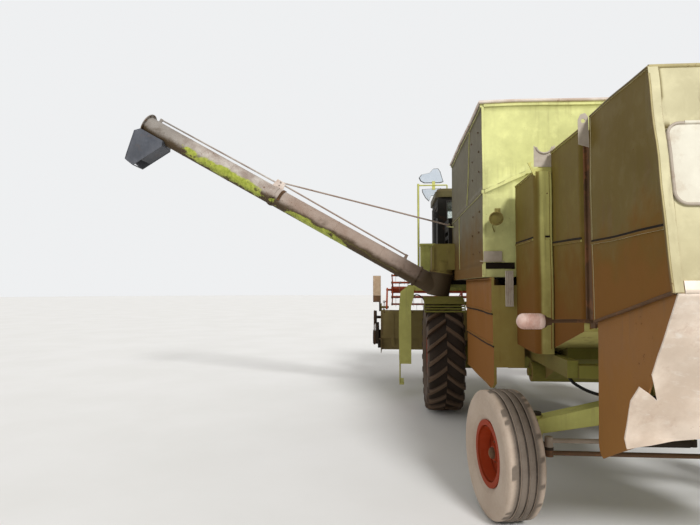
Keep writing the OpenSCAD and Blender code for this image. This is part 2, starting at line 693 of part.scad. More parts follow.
// Elbow between the tank's trough and the turret, on the swing axis, in a housing of flat sheets
turret_r = 150;
turret_flange = 12;
turret_low = -100;
turret_top = 210;
elbow_x = [foot.x - 160, tank_front - 5];
elbow_y = foot.y + 104;
elbow_z = [foot.z + 245, foot.z + 590];
module auger_elbow() in_frame() color(paint) difference() {
    union() {
        along(elbow_x[0], elbow_x[1])
            polygon([[tank_half, elbow_z[0]], [tank_half, elbow_z[1]], [elbow_y - 30, elbow_z[1]],
                [elbow_y, elbow_z[1] - 40], [elbow_y, elbow_z[0]]]);
        along(elbow_x[0] - 12, elbow_x[0] + weld)
            polygon([[elbow_y - 34, elbow_z[0]], [elbow_y - 34, elbow_z[1] - 40], [elbow_y, elbow_z[1] - 40],
                [elbow_y, elbow_z[0]]]);
        translate([elbow_x[0] - 14, tank_half + 90, elbow_z[1] - 90]) rotate([0, 90, 0])
            cylinder(r = 20, h = 15);
        translate(foot) aim(swing_axis) translate([0, 0, turret_top]) {
            cylinder(r = turret_r, h = 160);
            cylinder(r = turret_r + turret_flange, h = 16);
        }
    }
    translate(foot) aim(swing_axis) translate([0, 0, turret_top - 400]) cylinder(r = 600, h = 400);
    block([foot.x - 300, tank_half - 300, 1000], [foot.x + 300, tank_half, 3000]);
}

// Unloading auger: turret, tube, end plate, bands, truss rods and stay, and the spout
module on_tube() translate(foot) rotate([tube_rise, 0, 0]) children();
band_s = 2580;
near_s = 570;
far_s = 4560;
stay_lug = 80;
band_top = tube_r + stay_lug;
end_plate_r = 175;
module auger_tube() in_frame() color(dusty) {
    difference() {
        union() {
            translate(foot) aim(swing_axis) translate([0, 0, turret_low]) {
                cylinder(r = turret_r, h = turret_top - turret_low - seat);
                translate([0, 0, turret_top - turret_low - seat - 16])
                    cylinder(r = turret_r + turret_flange, h = 16);
            }
            rod(foot, tip, tube_r);
            translate(foot + out_dir * band_s) aim(out_dir) cylinder(r = tube_r + 9, h = 60);
            translate(foot + out_dir * near_s) aim(out_dir) cylinder(r = tube_r + 9, h = 50);
            translate(foot + out_dir * 330) aim(out_dir) cylinder(r = tube_r + 18, h = 24);
            translate(tip) aim(out_dir) cylinder(r = end_plate_r, h = 12);
        }
        translate(foot) aim(swing_axis) translate([0, 0, turret_low - 400]) cylinder(r = 600, h = 400);
        translate(tip - out_dir * 400) aim(out_dir) cylinder(r = tube_r - 10, h = 400);
        on_tube() block([-90, tube_len - 350, -tube_r - 10], [90, tube_len - 40, -40]);
    }
    on_tube() {
        block([-8, band_s + 10, tube_r], [8, band_s + 50, band_top + 20]);
        block([-8, near_s + 5, tube_r], [8, near_s + 45, tube_r + 60]);
        block([-8, far_s, tube_r - 2], [8, far_s + 40, tube_r + 50]);
        rod([0, near_s + 20, tube_r + 45], [0, band_s + 30, band_top - 10], 11);
        rod([0, band_s + 30, band_top - 30], [0, far_s + 20, tube_r + 35], 11);
    }
    stay_start = foot + out_dir * (band_s + 30) + [0, -sin(tube_rise), cos(tube_rise)] * (band_top + 4);
    difference() {
        union() {
            rod(stay_start, anchor, 11);
            translate(anchor) aim(swing_axis) translate([0, 0, -12]) cylinder(r = 28, h = 24);
        }
        translate(anchor) aim(swing_axis) translate([0, 0, -30]) cylinder(r = anchor_r + seat, h = 60);
    }
}

// Spout: a sheet funnel below the tube's end
spout_half = 150;
spout_t = 8;
module auger_spout() in_frame() color("LightSlateGray") translate([foot.x, 0, 0]) {
    translate([0, tip.y, tip.z]) rotate([tube_rise, 0, 0]) difference() {
        along(-spout_half, spout_half)
            polygon([spout_top[0], spout_mouth[0], spout_mouth[1], spout_top[1], [13, -90], [-360, -90]]);
        along(-spout_half + spout_t, spout_half - spout_t)
            polygon([spout_top[0] + [12, 4], spout_mouth[0] + [10, -30], spout_mouth[1] + [-10, -30],
                spout_top[1] + [-12, 4], [12, -98], [-360, -98], [-374, -160]]);
        translate([0, -500, 0]) rotate([-90, 0, 0]) cylinder(r = tube_r + seat, h = 500);
        translate([0, -seat, 0]) rotate([-90, 0, 0]) cylinder(r = end_plate_r + seat, h = 12 + 2 * seat);
    }
}

// Grain elevator on the right side
module grain_elevator() in_frame() color(dusty) {
    across(-guard_half + 75, -body_half)
        polygon([[-1610, 970], [-1380, 970], [-1150, deck_z], [-1400, deck_z]]);
    bar_y(-1270, deck_z - 110, 40, -guard_half + 45, -guard_half + 76);
}

// Belt drives: pulleys as [x, z, radius, outer face] and the belts that join them
pulleys = [[-1080, 1450, 165, 850], [-1900, 1290, 230, 850], [-1500, 1250, 90, 900], [-2250, 1480, 110, 850]];
belts = [[0, 1, 820], [1, 3, 790]];
module pulley(p) {
    bar_y(p[0], p[1], 20, body_half, p[3] + 25);
    difference() {
        bar_y(p[0], p[1], p[2], p[3] - 90, p[3]);
        bar_y(p[0], p[1], p[2] - 16, p[3] - 12, p[3] + 1);
        bar_y(p[0], p[1], p[2] - 16, p[3] - 91, p[3] - 78);
    }
    bar_y(p[0], p[1], 36, p[3] - 20, p[3] + 6);
}
module belt(b) {
    p = pulleys[b[0]];
    q = pulleys[b[1]];
    across(b[2] - 11, b[2] + 11) difference() {
        hull() {
            translate([p[0], p[1]]) circle(p[2] + 10, $fn = 36);
            translate([q[0], q[1]]) circle(q[2] + 10, $fn = 36);
        }
        hull() {
            translate([p[0], p[1]]) circle(p[2] - 2, $fn = 36);
            translate([q[0], q[1]]) circle(q[2] - 2, $fn = 36);
        }
    }
}
module belt_drives() in_frame() color(steel) {
    for (p = pulleys) pulley(p);
    mirror([0, 1, 0]) pulley(pulleys[1]);
    for (b = belts) belt(b);
}

// Side guards: three stacked sheets with folded ends, hung from a hinge along the tank's strip
guard_t = 24;
guard_bar_r = 14;
guard_hinge = [guard_half - 14, deck_z - seat - guard_bar_r];
guard_steps = [[deck_z - 20, 1385, 0], [1393, 1095, -6], [1103, 0, -12]];
module guard(side) in_frame() color(dusty) mirror([0, side > 0 ? 0 : 1, 0]) {
    for (g = guard_steps) {
        z1 = g[1] > 0 ? g[1] : guard_low;
        across(guard_half - guard_t + g[2], guard_half + g[2])
            polygon([[guard_rear, z1 + (g[1] > 0 ? 0 : 60)], [guard_rear + 120, z1], [guard_front, z1],
                [guard_front, min(g[0], guard_hinge.y)], [guard_rear, min(g[0], guard_hinge.y)]]);
    }
    for (x = [guard_rear, guard_front - 14])
        block([x, body_half + 60, guard_low + 200], [x + 14, guard_half - guard_t, guard_hinge.y - 60]);
    translate([guard_rear, guard_hinge.x, guard_hinge.y]) rotate([0, 90, 0])
        cylinder(r = guard_bar_r, h = guard_front - guard_rear);
}
module guard_left() guard(1);
module guard_right() guard(-1);

// Engine: one block with its exhaust
module engine() in_frame() color(dark) {
    block([tank_front + 70, -560, floor_z], [cab_rear - 70, 520, floor_z + 620]);
    block([tank_front + 130, -420, floor_z + 619], [cab_rear - 160, 400, floor_z + 720]);
    translate([tank_front + 200, -620, floor_z + 400]) cylinder(r = 75, h = 800);
    translate([tank_front + 200, -620, floor_z + 1199]) cylinder(r = 35, h = 560);
    block([tank_front + 160, -700, floor_z + 420], [tank_front + 240, -559, floor_z + 470]);
}

// Engine bay: cover, slatted left side and the radiator's round screen on the right
bay_top = 2560;
module engine_bay() in_frame() color(dark) {
    difference() {
        block([tank_front + 2, -cab_half + 60, floor_z], [cab_rear - 10, cab_half - 100, bay_top]);
        block([tank_front + 22, -cab_half + 80, floor_z - 1], [cab_rear - 30, cab_half - 120, bay_top - 20]);
        for (z = [floor_z + 140:110:bay_top - 160])
            block([tank_front + 90, cab_half - 140, z], [cab_rear - 90, cab_half - 90, z + 60]);
        bar_y((tank_front + cab_rear) / 2, 2080, 240, -cab_half + 50, -cab_half + 90);
        translate([tank_front + 200, -620, bay_top - 40]) cylinder(r = 90, h = 60);
    }
    difference() {
        bar_y((tank_front + cab_rear) / 2, 2080, 270, -cab_half + 20, -cab_half + 61);
        bar_y((tank_front + cab_rear) / 2, 2080, 236, -cab_half + 30, -cab_half + 62);
    }
}

// Platform with the lidded box beside the engine, the walkway and the beams below it
deck_low = floor_z - 40;
walk_half = 1580;
walk_x = [760, 1600];
box_x = [450, 740];
box_y = [1300, 1490];
box_z = 2200;
module platform() in_frame() color(paint) {
    block([tank_front + 2, -cab_half, deck_low], [cab_front, cab_half, floor_z]);
    block([walk_x[0], cab_half - weld, deck_low], [walk_x[1], walk_half, floor_z]);
    block([box_x[0], cab_half - weld, deck_low], [walk_x[0] + weld, box_y[1], floor_z]);
    block([box_x[0], box_y[0], floor_z - weld], [box_x[1], box_y[1], box_z]);
    block([box_x[0] - 20, box_y[0] - 10, box_z - weld], [box_x[1] + 20, box_y[1] + 12, box_z + 24]);
    for (x = [walk_x[0], walk_x[1] - 40])
        block([x, body_half - 40, deck_low - 50], [x + 40, walk_half - 20, deck_low + weld]);
}

// Ladder: two upright stringers with treads between them and a step hung below on rods
ladder_x = [810, 1230];
ladder_y = [1624, 1800];
ladder_low = 470;
stringer_t = 24;
tread_n = 4;
step_z = 165;
module ladder() in_frame() color(paint) {
    for (x = ladder_x) {
        along(x, x + stringer_t) polygon([[walk_half, floor_z], [walk_half + 60, floor_z],
            [ladder_y[1] - 24, floor_z - 110], [ladder_y[1], floor_z - 420], [ladder_y[1], ladder_low],
            [ladder_y[0], ladder_low], [ladder_y[0], floor_z - 330], [walk_half, floor_z - 160]]);
        rod([x + stringer_t / 2, ladder_y[1] - 12, ladder_low + 30],
            [x + stringer_t / 2, ladder_y[1] - 12, step_z + 10], 9);
    }
    for (i = [0:tread_n - 1]) {
        z = ladder_low + 40 + i * (floor_z - 300 - ladder_low) / (tread_n - 1);
        block([ladder_x[0] + stringer_t - weld, ladder_y[0] + 10, z],
            [ladder_x[1] + weld, ladder_y[1] - 10, z + 26]);
    }
    block([ladder_x[0], ladder_y[1] - 70, step_z], [ladder_x[1] + stringer_t, ladder_y[1], step_z + 24]);
}

// Cab: shell with posts and cut windows, panes, door and roof
shell_t = 40;
door_w = 640;
door_h = cab_top - floor_z - 100;
door_x = cab_rear + post_t;
sill = 300;
// Door hinges: their axis stands clear of the cab's side
hinge_pin_r = 10;
hinge_y = cab_half + hinge_pin_r + 1;
hinge_h = 50;
hinge_z = [floor_z + 330, floor_z + 1000];
// Windows as [wall, start, end, low, high], counted along the wall
module window_cut(w) {
    if (w[0] == "front") block([cab_front - 60, w[1], w[3]], [cab_front + 10, w[2], w[4]]);
    if (w[0] == "rear") block([cab_rear - 10, w[1], w[3]], [cab_rear + 60, w[2], w[4]]);
    if (w[0] == "left") block([w[1], cab_half - 60, w[3]], [w[2], cab_half + 10, w[4]]);
    if (w[0] == "right") block([w[1], -cab_half - 10, w[3]], [w[2], -cab_half + 60, w[4]]);
}
head_z = cab_top - 60;
windows = [["front", -cab_half + post_t, cab_half - post_t, floor_z + 120, head_z],
    ["rear", -cab_half + 2 * post_t, cab_half - 2 * post_t, floor_z + 980, head_z],
    ["left", door_x + door_w + post_t, cab_front - post_t, floor_z + sill, head_z],
    ["right", cab_rear + post_t, cab_front - post_t, floor_z + sill, head_z]];
module cab_frame() in_frame() color(dark) {
    difference() {
        block([cab_rear, -cab_half, floor_z], [cab_front, cab_half, cab_top]);
        block([cab_rear + shell_t, -cab_half + shell_t, floor_z + 20],
            [cab_front - shell_t, cab_half - shell_t, cab_top + 1]);
        for (w = windows) window_cut(w);
        block([door_x, cab_half - 60, floor_z + 40], [door_x + door_w, cab_half + 10, floor_z + 40 + door_h]);
    }
    for (z = hinge_z) translate([door_x - 13, hinge_y, z]) {
        cylinder(r = hinge_pin_r, h = hinge_h);
        translate([-16, -12, 0]) cube([16, 12, hinge_h]);
    }
}
pane_t = 8;
module cab_glass() in_frame() color("LightBlue") for (w = windows) intersection() {
    window_cut([w[0], w[1] + seat, w[2] - seat, w[3] + seat, w[4] - seat]);
    difference() {
        block([cab_rear + 16, -cab_half + 16, floor_z], [cab_front - 16, cab_half - 16, cab_top]);
        block([cab_rear + 16 + pane_t, -cab_half + 16 + pane_t, floor_z - 1],
            [cab_front - 16 - pane_t, cab_half - 16 - pane_t, cab_top + 1]);
    }
}
module cab_door() in_frame() {
    x0 = door_x + 6;
    x1 = door_x + door_w - 6;
    z0 = floor_z + 46;
    z1 = floor_z + 34 + door_h;
    color(dark) {
        difference() {
            block([x0, cab_half - 34, z0], [x1, cab_half, z1]);
            block([x0 + 60, cab_half - 50, z0 + 260], [x1 - 60, cab_half + 10, z1 - 60]);
        }
        for (z = hinge_z) translate([door_x - 13, hinge_y, z + hinge_h + seat]) {
            cylinder(r = hinge_pin_r, h = hinge_h);
            translate([0, -10, 0]) cube([46, 6, hinge_h]);
            translate([22, -15, 0]) cube([24, 8, hinge_h]);
        }
        rod([x1 - 40, cab_half + 30, z0 + 240], [x1 - 40, cab_half + 30, z0 + 420], 8);
        for (z = [z0 + 250, z0 + 410]) rod([x1 - 40, cab_half - 4, z], [x1 - 40, cab_half + 30, z], 6);
    }
    color("LightBlue") block([x0 + 60 + seat, cab_half - 22, z0 + 260 + seat],
        [x1 - 60 - seat, cab_half - 16, z1 - 60 - seat]);
}
roof_h = 130;
roof_over = 30;
beacon_r = 12;
module cab_roof() in_frame() color(paint) {
    translate([0, 0, cab_top]) linear_extrude(roof_h - 40)
        polygon(round_rect(cab_rear - roof_over, -cab_half - roof_over, cab_front + 130,
            cab_half + roof_over, 120));
    translate([0, 0, cab_top + roof_h - 41]) linear_extrude(41)
        polygon(round_rect(cab_rear, -cab_half, cab_front + 90, cab_half, 100));
    translate([cab_rear + 140, -cab_half + 200, cab_top + roof_h - 1]) cylinder(r = beacon_r, h = 61);
}

// Seat and steering column
module controls() in_frame() color(dark) {
    sx = cab_rear + 430;
    base = floor_z + 20;
    translate([sx - 60, -60, base]) cube([160, 120, 300]);
    block([sx - 200, -230, base + 299], [sx + 220, 230, base + 400]);
    across(-220, 220)
        polygon([[sx - 230, base + 330], [sx - 150, base + 330], [sx - 200, base + 860],
            [sx - 270, base + 860]]);
    cx = cab_front - 330;
    translate([cx + 90, 0, base]) cylinder(r = 60, h = 12);
    rod([cx + 90, 0, base + 6], [cx, 0, base + 620], 32);
    translate([cx, 0, base + 620]) rotate([0, -12, 0]) {
        rotate_extrude() translate([185, 0]) circle(13);
        cylinder(r = 40, h = 26, center = true);
        for (a = [90, 210, 330]) rotate(a) translate([20, -12, -6]) cube([160, 24, 12]);
    }
}

// Mirrors on their posts: on the left a post on the walkway with two mirrors, on the right one arm
mirror_post = [walk_x[1] - 40, cab_half + 255];
mirror_arm = cab_top + 312;
mirror_t = 30;
mirror_stay = cab_half - 210;
// Outlines of the mirrors, out from the cab's side and up from their arm
upper_mirror = [[246, 130], [200, 184], [66, 210], [6, 278], [-70, 283], [-108, 228], [-126, 163],
    [-158, 56], [-100, 40], [160, 40], [220, 74]];
lower_mirror = [[196, -59], [-120, -44], [-120, -117], [-62, -162], [42, -170], [80, -264],
    [138, -205], [188, -112]];
right_mirror = round_rect(48, -322, 280, -32, 50);
module mirror_plate(outline) along(mirror_post.x + 13, mirror_post.x + 13 + mirror_t)
    translate([cab_half, mirror_arm]) polygon(outline);
module mirrors() in_frame() {
    x = mirror_post.x;
    roof_z = cab_top + roof_h;
    right_end = -cab_half - 180;
    color(paint) {
        rod([x, mirror_post.y, floor_z], [x, mirror_post.y, mirror_arm + 26], 17);
        rod([x, mirror_post.y, mirror_arm], [x, mirror_stay, mirror_arm], 11);
        for (y = [mirror_stay, -mirror_stay]) translate([x, y, roof_z]) {
            cylinder(r = 11, h = mirror_arm - roof_z);
            cylinder(r = 30, h = 8);
        }
        rod([x, -mirror_stay + 11, mirror_arm], [x, right_end, mirror_arm], 11);
        block([x, cab_half - 20, mirror_arm - 72], [x + 20, cab_half + 30, mirror_arm + 68]);
        block([x, right_end, mirror_arm - 72], [x + 20, right_end + 40, mirror_arm]);
    }
    color(steel) {
        mirror_plate(upper_mirror);
        mirror_plate(lower_mirror);
        mirror([0, 1, 0]) mirror_plate(right_mirror);
    }
}

// Lamps: rear marker lamps on rods from the post, a work lamp on the tank, head lamps on the roof
marker = [-3855, 1340];
marker_out = body_half + 300;
work_lamp = [955, 2220];
module lamps() in_frame() color("MistyRose") {
    both_sides() {
        bar_y(marker.x, marker.y + 60, 11, body_half - post_in, marker_out - 25);
        translate([marker.x, marker_out, marker.y + 60]) {
            rotate([-90, 0, 0]) cylinder(r = 50, h = 90);
            sphere(50);
            translate([0, 90, 0]) sphere(50);
        }
    }
    translate([tank_rear, work_lamp.x, work_lamp.y]) {
        rotate([0, -90, 0]) cylinder(r = 12, h = 70);
        translate([-70, 0, 0]) rotate([0, -80, 0]) cylinder(r1 = 40, r2 = 58, h = 60);
    }
    for (y = [-900, -500, 500, 900]) translate([cab_front + 130, y, cab_top + 55])
        rotate([0, 90, 0]) cylinder(r1 = 40, r2 = 55, h = 50);
}

// Header: feeder house, trough with end plates and dividers, knife bar, left drives
throat = [trough_z + 40, trough_z + 520];
feeder_half = 600;
feeder_r = 285;
lift_eye = [1300, 680];
eye_gap = 7;
throat_x = 1400;
feeder_top = [pivot.x + 60, pivot.y + feeder_r];
feeder_base = [pivot.x, pivot.y - feeder_r];
// Heights of the feeder house's top and underside at a place along it
function feeder_up(x) = feeder_top.y
    + (throat[1] - feeder_top.y) * (x - feeder_top.x) / (back_x - feeder_top.x);
function feeder_low(x) = feeder_base.y
    + (throat[0] - feeder_base.y) * (x - feeder_base.x) / (back_x - feeder_base.x);
module feeder_house() in_frame() color(paint) {
    difference() {
        across(-feeder_half, feeder_half) {
            polygon([[pivot.x, pivot.y + feeder_r], feeder_top, [back_x, throat[1]], [back_x, throat[0]],
                feeder_base]);
            translate(pivot) circle(feeder_r);
        }
        across(-feeder_half + 24, feeder_half - 24)
            polygon([[throat_x, feeder_low(throat_x) + 24], [throat_x, feeder_up(throat_x) - 24],
                [back_x + 1, throat[1] - 24], [back_x + 1, throat[0] + 24]]);
    }
    bar_y(pivot.x, pivot.y, shaft_r, -body_half - 15, body_half + 15);
    both_sides() {
        for (y = [lift_y - lift_ear - lift_ear_t, lift_y + lift_ear]) across(y, y + lift_ear_t)
            polygon(concat([[lift_eye.x + 90, lift_eye.y + 110], [lift_eye.x - 90, lift_eye.y + 130]],
                arc(lift_eye, 36, 180, 360)));
        bar_y(lift_eye.x, lift_eye.y, pin_r, lift_y - lift_ear - weld, lift_y + lift_ear + weld);
    }
}

auger_c = [back_x + 300, trough_z + 280];
bowl_r = auger_c.y - trough_z - 4;
beam_z = 1150;
reel_pivot = [back_x + 40, beam_z + 110];
barrel_foot = [back_x + 110, beam_z - 190];
tip_z = trough_z - 20;
module header_trough() in_frame() color(paint) {
    difference() {
        across(-header_half, header_half)
            polygon(concat([[back_x, beam_z], [back_x, auger_c.y]],
                arc(auger_c, bowl_r + plate_t, 190, 270, 8),
                [[knife_x - 60, trough_z - 4], [knife_x - 60, trough_z + 4]],
                arc(auger_c, bowl_r, 270, 190, 8), [[back_x + 8, auger_c.y + 40], [back_x + 8, beam_z]]));
        block([back_x - 1, -feeder_half + 20, throat[0] + 20],
            [auger_c.x - 60, feeder_half - 20, throat[1] - 20]);
    }
    block([back_x, -header_half, beam_z - weld], [back_x + 90, header_half, beam_z + 60]);
    block([back_x, -header_half, auger_c.y - 60], [back_x + 14, -feeder_half - 20, auger_c.y + 60]);
    block([back_x, feeder_half + 20, auger_c.y - 60], [back_x + 14, header_half, auger_c.y + 60]);
    both_sides() {
        difference() {
            across(header_half - weld, header_half + plate_t)
                polygon([[back_x - 20, trough_z - 30], [back_x - 20, beam_z + 170],
                    [back_x + 330, beam_z + 170], [back_x + 640, trough_z + 420],
                    [knife_x + 60, trough_z + 230], [knife_x + 60, trough_z - 30]]);
            bar_y(auger_c.x, auger_c.y, intake_shaft_r + seat, header_half - 10, header_half + 20);
        }
        hull() {
            block([knife_x + 20, header_half, tip_z],
                [knife_x + 60, header_half + plate_t + divider_w, tip_z + 250]);
            block([divider_x - 40, header_half + 10, tip_z - 20], [divider_x, header_half + 40, tip_z + 10]);
        }
        bar_y(reel_pivot.x, reel_pivot.y, pin_r, reel_arm_in - 20, header_half);
        bar_y(barrel_foot.x, barrel_foot.y, 12, ram_y - 22, header_half);
    }
}

// Knife bar with its fingers
finger_step = 152;
finger_n = floor((header_half - 60) / finger_step);
module cutter_bar() in_frame() color(steel) translate([0, 0, trough_z + 4]) linear_extrude(14) {
    translate([knife_x - 150, -header_half + weld + seat]) square([90, 2 * (header_half - weld - seat)]);
    for (i = [-finger_n:finger_n]) translate([knife_x - 62, i * finger_step])
        polygon([[0, -22], [40, -20], [118, -4], [122, 0], [118, 4], [40, 20], [0, 22]]);
}

// Drives on the header's left end, below an upright board
shield_z = [beam_z + 196, beam_z + 646];
module header_drives() in_frame() color(steel) {
    y0 = header_half + plate_t;
    for (p = [[auger_c.x, auger_c.y, 190, 90], [back_x + 60, beam_z - 60, 110, 120],
        [knife_x - 330, trough_z + 190, 120, 150]])
        difference() {
            bar_y(p[0], p[1], p[2], y0 + p[3] - 50, y0 + p[3]);
            bar_y(p[0], p[1], p[2] - 18, y0 + p[3] - 12, y0 + p[3] + 1);
        }
    for (p = [[back_x + 60, beam_z - 60, 110], [knife_x - 330, trough_z + 190, 140]])
        bar_y(p[0], p[1], 24, y0, y0 + p[2] + 10);
    bar_y(auger_c.x, auger_c.y, 60, y0, y0 + 80);
    across(y0, y0 + 70) polygon(round_rect(knife_x - 210, trough_z - 20, knife_x - 50, trough_z + 130, 30));
    color("Tan") {
        block([back_x + 40, y0, beam_z + 40], [back_x + 64, y0 + 30, shield_z[0] + weld]);
        block([back_x + 40, y0, shield_z[0]], [back_x + 76, y0 + 132, shield_z[1]]);
    }
}

// Intake auger: two opposed flights and retracting fingers between them
intake_shaft_r = 25;
intake_tube_r = 150;
intake_half = header_half - 110;
centre_half = 560;
finger_last = 13;
module intake_auger() in_frame() color(steel) translate([auger_c.x, 0, auger_c.y]) rotate([90, 0, 0]) {
    translate([0, 0, -header_half - 6]) cylinder(r = intake_shaft_r, h = 2 * header_half + 12, $fn = 24);
    translate([0, 0, -intake_half]) cylinder(r = intake_tube_r, h = 2 * intake_half, $fn = 36);
    for (s = [-1, 1]) mirror([0, 0, s < 0 ? 1 : 0]) translate([0, 0, centre_half])
        flight(intake_tube_r - 6, intake_d / 2, intake_half - centre_half, 400, -s);
    for (i = [0:finger_last]) rotate(i * 137)
        translate([0, 0, -centre_half + 60 + i * (2 * centre_half - 120) / finger_last]) hull() {
            translate([intake_tube_r - 10, -7, -7]) cube([4, 14, 14]);
            translate([intake_d / 2 - 6, -5, -5]) cube([4, 10, 10]);
        }
}

// Reel: centre tube, spiders, bats and tines
reel_c = [knife_x, 1550];
reel_half = header_half - 165;
reel_arm_in = header_half - 107;
reel_arm_t = 30;
ram_y = header_half - 40;
tine_len = 190;
bat_r = reel_d / 2 - tine_len;
spiders = [-1, -0.34, 0.34, 1];
tine_n = floor((reel_half - 40) / tine_step);
reel_shaft_r = 20;
spider_w = 44;
spider_t = 10;
hub_r = 62;
bat_tube_r = 18;
tine_w = 10;
module tine() rotate([0, 176, 0]) linear_extrude(tine_len - bat_tube_r, scale = 0.5)
    square(tine_w, center = true);
module reel() in_frame() color(red) translate([reel_c.x, 0, reel_c.y]) {
    bar_y(0, 0, hub_r, -reel_half, reel_half, $fn = 16);
    bar_y(0, 0, reel_shaft_r, -reel_arm_in - reel_arm_t - 6, reel_arm_in + reel_arm_t + 6, $fn = 16);
    for (i = [0:bat_n - 1]) {
        a = i * 360 / bat_n + 30;
        b = [bat_r * cos(a), bat_r * sin(a)];
        translate([b.x, reel_half, b.y]) rotate([90, 0, 0]) rotate(22.5)
            cylinder(r = bat_tube_r, h = 2 * reel_half, $fn = 8);
        for (s = spiders) translate([0, s * (reel_half - 20), 0]) rotate([0, -a, 0]) hull() {
            translate([0, -spider_t / 2, -spider_w / 2]) cube([hub_r, spider_t, spider_w]);
            translate([bat_r, -spider_t / 2, -bat_tube_r / 2]) cube([6, spider_t, bat_tube_r]);
        }
        for (k = [-tine_n:tine_n])
            translate([b.x, (k + 0.4 * (i % 2)) * tine_step, b.y - bat_tube_r * cos(22.5) + weld]) tine();
    }
}

arm_vec = reel_c - reel_pivot;
arm_turn = atan2(arm_vec.y, arm_vec.x);
ram_eye = reel_pivot + [405 * cos(arm_turn) + 55 * sin(arm_turn), 405 * sin(arm_turn) - 55 * cos(arm_turn)];
ram_pin_r = 10;
module reel_arms() in_frame() color(red) both_sides() {
    difference() {
        across(reel_arm_in, reel_arm_in + reel_arm_t) union() {
            translate(reel_pivot) rotate(arm_turn) polygon([[0, -34], [405, -70], [norm(arm_vec), -28],
                [norm(arm_vec), 28], [0, 34]]);
            translate(reel_pivot) circle(38);
            translate(reel_c) circle(38);
        }
        bar_y(reel_pivot.x, reel_pivot.y, pin_r + seat, reel_arm_in - 1, reel_arm_in + reel_arm_t + 1);
        bar_y(reel_c.x, reel_c.y, reel_shaft_r + 1, reel_arm_in - 1, reel_arm_in + reel_arm_t + 1);
    }
    bar_y(ram_eye.x, ram_eye.y, ram_pin_r, reel_arm_in + reel_arm_t - weld, ram_y + 20);
}
ram_vec = ram_eye - barrel_foot;
module at_ram(side) in_frame() translate([barrel_foot.x, side * ram_y, barrel_foot.y])
    aim([ram_vec.x, 0, ram_vec.y]) children();
module reel_barrels() for (s = [-1, 1]) color(dark) difference() {
    union() {
        at_ram(s) translate([0, 0, 10]) cylinder(r = 22, h = 0.6 * norm(ram_vec));
        in_frame() bar_y(barrel_foot.x, barrel_foot.y, 24, s * ram_y - 20, s * ram_y + 20);
    }
    in_frame() bar_y(barrel_foot.x, barrel_foot.y, 12 + seat, s * ram_y - 30, s * ram_y + 30);
    at_ram(s) translate([0, 0, 60]) cylinder(r = 11 + seat, h = 0.6 * norm(ram_vec));
}
module reel_rods() for (s = [-1, 1]) color(steel) difference() {
    union() {
        at_ram(s) translate([0, 0, 190]) cylinder(r = 11, h = norm(ram_vec) - 190 - ram_pin_r - eye_gap);
        in_frame() bar_y(ram_eye.x, ram_eye.y, ram_pin_r + eye_gap + 8, s * ram_y - 18, s * ram_y + 18);
    }
    in_frame() bar_y(ram_eye.x, ram_eye.y, ram_pin_r + eye_gap, s * ram_y - 30, s * ram_y + 30);
}

// Lift cylinders between the front axle and the feeder house
lift_vec = lift_eye - lift_foot;
module at_lift(side) in_frame() translate([lift_foot.x, side * lift_y, lift_foot.y])
    aim([lift_vec.x, 0, lift_vec.y]) children();
module lift_barrels() for (s = [-1, 1]) color(dark) difference() {
    union() {
        at_lift(s) translate([0, 0, 42]) cylinder(r = 45, h = 0.6 * norm(lift_vec));
        in_frame() bar_y(lift_foot.x, lift_foot.y, 46, s * lift_y - 23, s * lift_y + 23);
    }
    in_frame() bar_y(lift_foot.x, lift_foot.y, pin_r + seat, s * lift_y - 60, s * lift_y + 60);
    at_lift(s) translate([0, 0, 120]) cylinder(r = 26 + seat, h = 0.62 * norm(lift_vec));
}
module lift_rods() for (s = [-1, 1]) color(steel) difference() {
    union() {
        at_lift(s) translate([0, 0, 360]) cylinder(r = 26, h = norm(lift_vec) - 360 - pin_r - eye_gap);
        in_frame() bar_y(lift_eye.x, lift_eye.y, pin_r + eye_gap + 12, s * lift_y - 21, s * lift_y + 21);
    }
    in_frame() bar_y(lift_eye.x, lift_eye.y, pin_r + eye_gap, s * lift_y - 60, s * lift_y + 60);
}

frame();
threshing_body();
walker_housing();
mudguards();
straw_hood();
hood_skirts();
rear_apron();
cleaning_shoe();
straw_walkers();
tank_sides();
tank_ends();
tank_floor();
grain_elevator();
engine();
engine_bay();
front_axle();
rear_axle();
platform();
ladder();
cab_frame();
cab_roof();
cab_glass();
controls();
mirrors();
lamps();
auger_elbow();
belt_drives();
tyre_front_left();
tyre_front_right();
rim_front_left();
rim_front_right();
tyre_rear_left();
tyre_rear_right();
rim_rear_left();
rim_rear_right();
knuckle_left();
knuckle_right();
tie_rod();
steer_barrel();
steer_rod();
feeder_house();
header_trough();
cutter_bar();
header_drives();
intake_auger();
reel();
reel_arms();
reel_barrels();
reel_rods();
lift_barrels();
lift_rods();
auger_tube();
auger_spout();
tank_auger();
cab_door();
rear_hatch();
guard_left();
guard_right();
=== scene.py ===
import bpy
import bmesh
import json
import math
from mathutils import Matrix, Vector, noise


